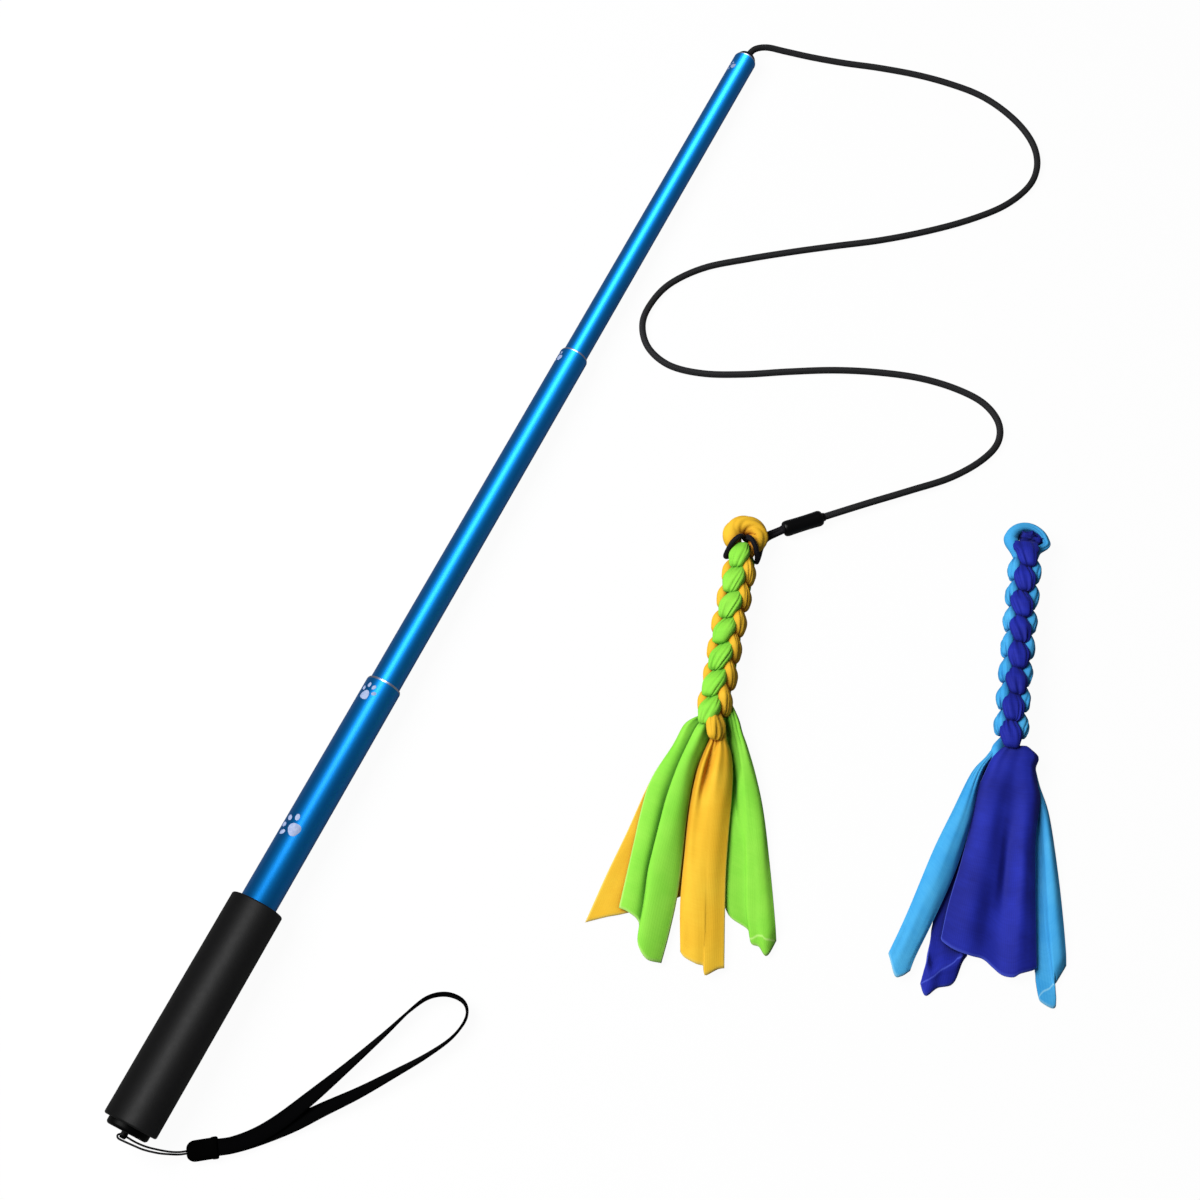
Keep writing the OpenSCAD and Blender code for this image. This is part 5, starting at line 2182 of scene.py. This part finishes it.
@dataclass
class Studio:
    """Camera, white floor and soft light."""

    camera_at: Triple = (279.8, 7.0, 1022.66)
    camera_aim: Triple = (88.4, 396.6, 0.0)
    lens: float = 54.0
    sensor: float = 36.0
    floor_half: float = 4.0
    floor_drop: float = 0.2 * MM
    white_share: float = 0.96
    mirror_share: float = 0.1
    floor_seen: Colour = (0.95, 0.95, 0.95, 1.0)
    floor_dim: Colour = (0.1, 0.1, 0.1, 1.0)
    world_level: float = 0.11
    streak: Lamp = Lamp("streak", (-160.0, 1350.0, 1150.0), (-160.0, 520.0, 0.0), (0.5, 2.0), 42.0, Link.ONLY)
    shine: Lamp = Lamp("shine", (60.0, 80.0, 1150.0), (0.0, 70.0, 0.0), (0.3, 0.6), 18.0, Link.ONLY)
    key: Lamp = Lamp("key", (-700.0, 150.0, 1100.0), (200.0, 420.0, 0.0), (0.9, 0.9), 26.0, Link.ALL_BUT)

    def build(self, tubes: Sequence[Piece], grip: Piece) -> None:
        """Makes the camera, the floor, the world and the lamps.

        Args:
            tubes: which get a long lamp of their own for the streak along them.
            grip: which gets a lamp over it for the soft shine along its middle.
        """
        self.camera()
        self.floor()
        self.world()
        self.streak.build(tubes)
        self.shine.build([grip])
        self.key.build([*tubes, grip])

    def camera(self) -> None:
        """Makes the camera at the photograph's viewing angle."""
        data = bpy.data.cameras.new("camera")
        data.lens, data.sensor_width, data.sensor_fit = self.lens, self.sensor, "HORIZONTAL"
        camera = bpy.data.objects.new("camera", data)
        aim = LIE.laid(*self.camera_aim)
        camera.location = LIE.laid(*self.camera_at)
        camera.rotation_euler = (aim - camera.location).to_track_quat("-Z", "Y").to_euler()
        bpy.context.scene.collection.objects.link(camera)
        bpy.context.scene.camera = camera

    def seen(self, paint: Paint) -> Value:
        """1 for rays from the camera, a small share for reflections and 0 for all that light the part.

        Args:
            paint: that the rays are told apart in.

        Returns:
            The share.
        """
        rays = paint.node("ShaderNodeLightPath").outputs
        camera, glossy, clear = (Value(paint, rays[f"Is {kind} Ray"])
                                 for kind in ("Camera", "Glossy", "Transmission"))
        return camera + (glossy + clear) * self.mirror_share

    def floor(self) -> None:
        """Makes the white floor, which keeps a faint shadow."""
        paint = Paint.material("white_floor")
        seen = self.seen(paint)
        tone = paint.mix(seen, self.floor_dim, self.floor_seen)
        paper = paint.node("ShaderNodeBsdfDiffuse", None, {"Color": tone})
        white = paint.node("ShaderNodeEmission", None, {"Strength": 1.0})
        paint.blend(seen * self.white_share, paper, white)
        half, ground = self.floor_half, LIE.floor * MM - self.floor_drop
        mesh = bpy.data.meshes.new("floor")
        mesh.from_pydata([(x, y, ground) for y in (-half, half) for x in (-half, half)], [], [(0, 1, 3, 2)])
        mesh.materials.append(paint.owner)
        floor = bpy.data.objects.new("floor", mesh)
        bpy.context.scene.collection.objects.link(floor)
        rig.stage(floor)

    def world(self) -> None:
        """Makes the surroundings: soft light, white where they are seen."""
        world = bpy.data.worlds.new("surroundings")
        paint = Paint(world)
        soft, white = (paint.node("ShaderNodeBackground", None, {"Color": WHITE, "Strength": strength})
                       for strength in (self.world_level, 1.0))
        paint.blend(self.seen(paint), soft, white)
        bpy.context.scene.world = world


def dress_hidden() -> None:
    """Gives the solids that stay inside the tubes their finishes."""
    strip = SpringFinish("bush_strip")
    for node, finish in {"middle_bush": strip, "tip_bush": strip, "cord_stop": SHEATH}.items():
        mesh = frame["nodes"][node].data
        mesh.materials.clear()
        mesh.materials.append(finish.material)


def main() -> None:
    """Builds the studio and the part, and writes how the sizes compare."""
    logging.basicConfig(level=logging.INFO, format="%(message)s")
    bpy.context.scene.view_settings.view_transform = "Standard"
    lure = Lure(
        name="lure", body="lure", at=(154.0, 465.0), turn=15.0, front=GREEN, sides=YELLOW,
        front_slot="cloth_green", side_slot="cloth_yellow",
        front_columns=(Column(110, -9.5, 7, 8, 0.7, last_degrees=112), Column(290, -9.5, 7, 8, 0.7)),
        side_columns=(Column(20, -18.1, 7, -6, -0.6, 7, last_degrees=58), Column(200, -18.1, 6, -6, 0.6, 7)),
        tails=LURE_TAILS, seed=7, knob_twist=6.0, knob_y=5.2, pitch=17.2)
    spare = Lure(
        name="spare", body="spare_lure", at=(311.0, 542.0), turn=16.5, front=DARK_BLUE, sides=LIGHT_BLUE,
        front_slot="cloth_dark_blue", side_slot="cloth_light_blue",
        front_columns=(Column(92, -8.6, 8, -8, -0.5, head=8.6), Column(272, -8.6, 7, -8, -0.5)),
        side_columns=(Column(2, -17.0, 7, 10, 0.9, 9), Column(182, -17.0, 8, -10, -0.9, 9, last_degrees=228)),
        tails=SPARE_TAILS, seed=21, knob_twist=-2.2, knob_y=0.6, pitch=16.9, knob_band=(4.6, 3.0, 2.4),
        eye=(1.6, 4.6))
    Studio().build(Pole().build(), Handle().build())
    LeadCord().build(lure)
    WristStrap().build()
    lure.build()
    spare.build()
    dress_hidden()
    boxes = {"cad": [list(corner) for corner in CAD_BOX], "visual": [list(corner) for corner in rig.bounds()]}
    with open(SIZE_FILE, "w", encoding="utf-8") as file:
        json.dump(boxes, file)


if __name__ == "__main__":
    main()
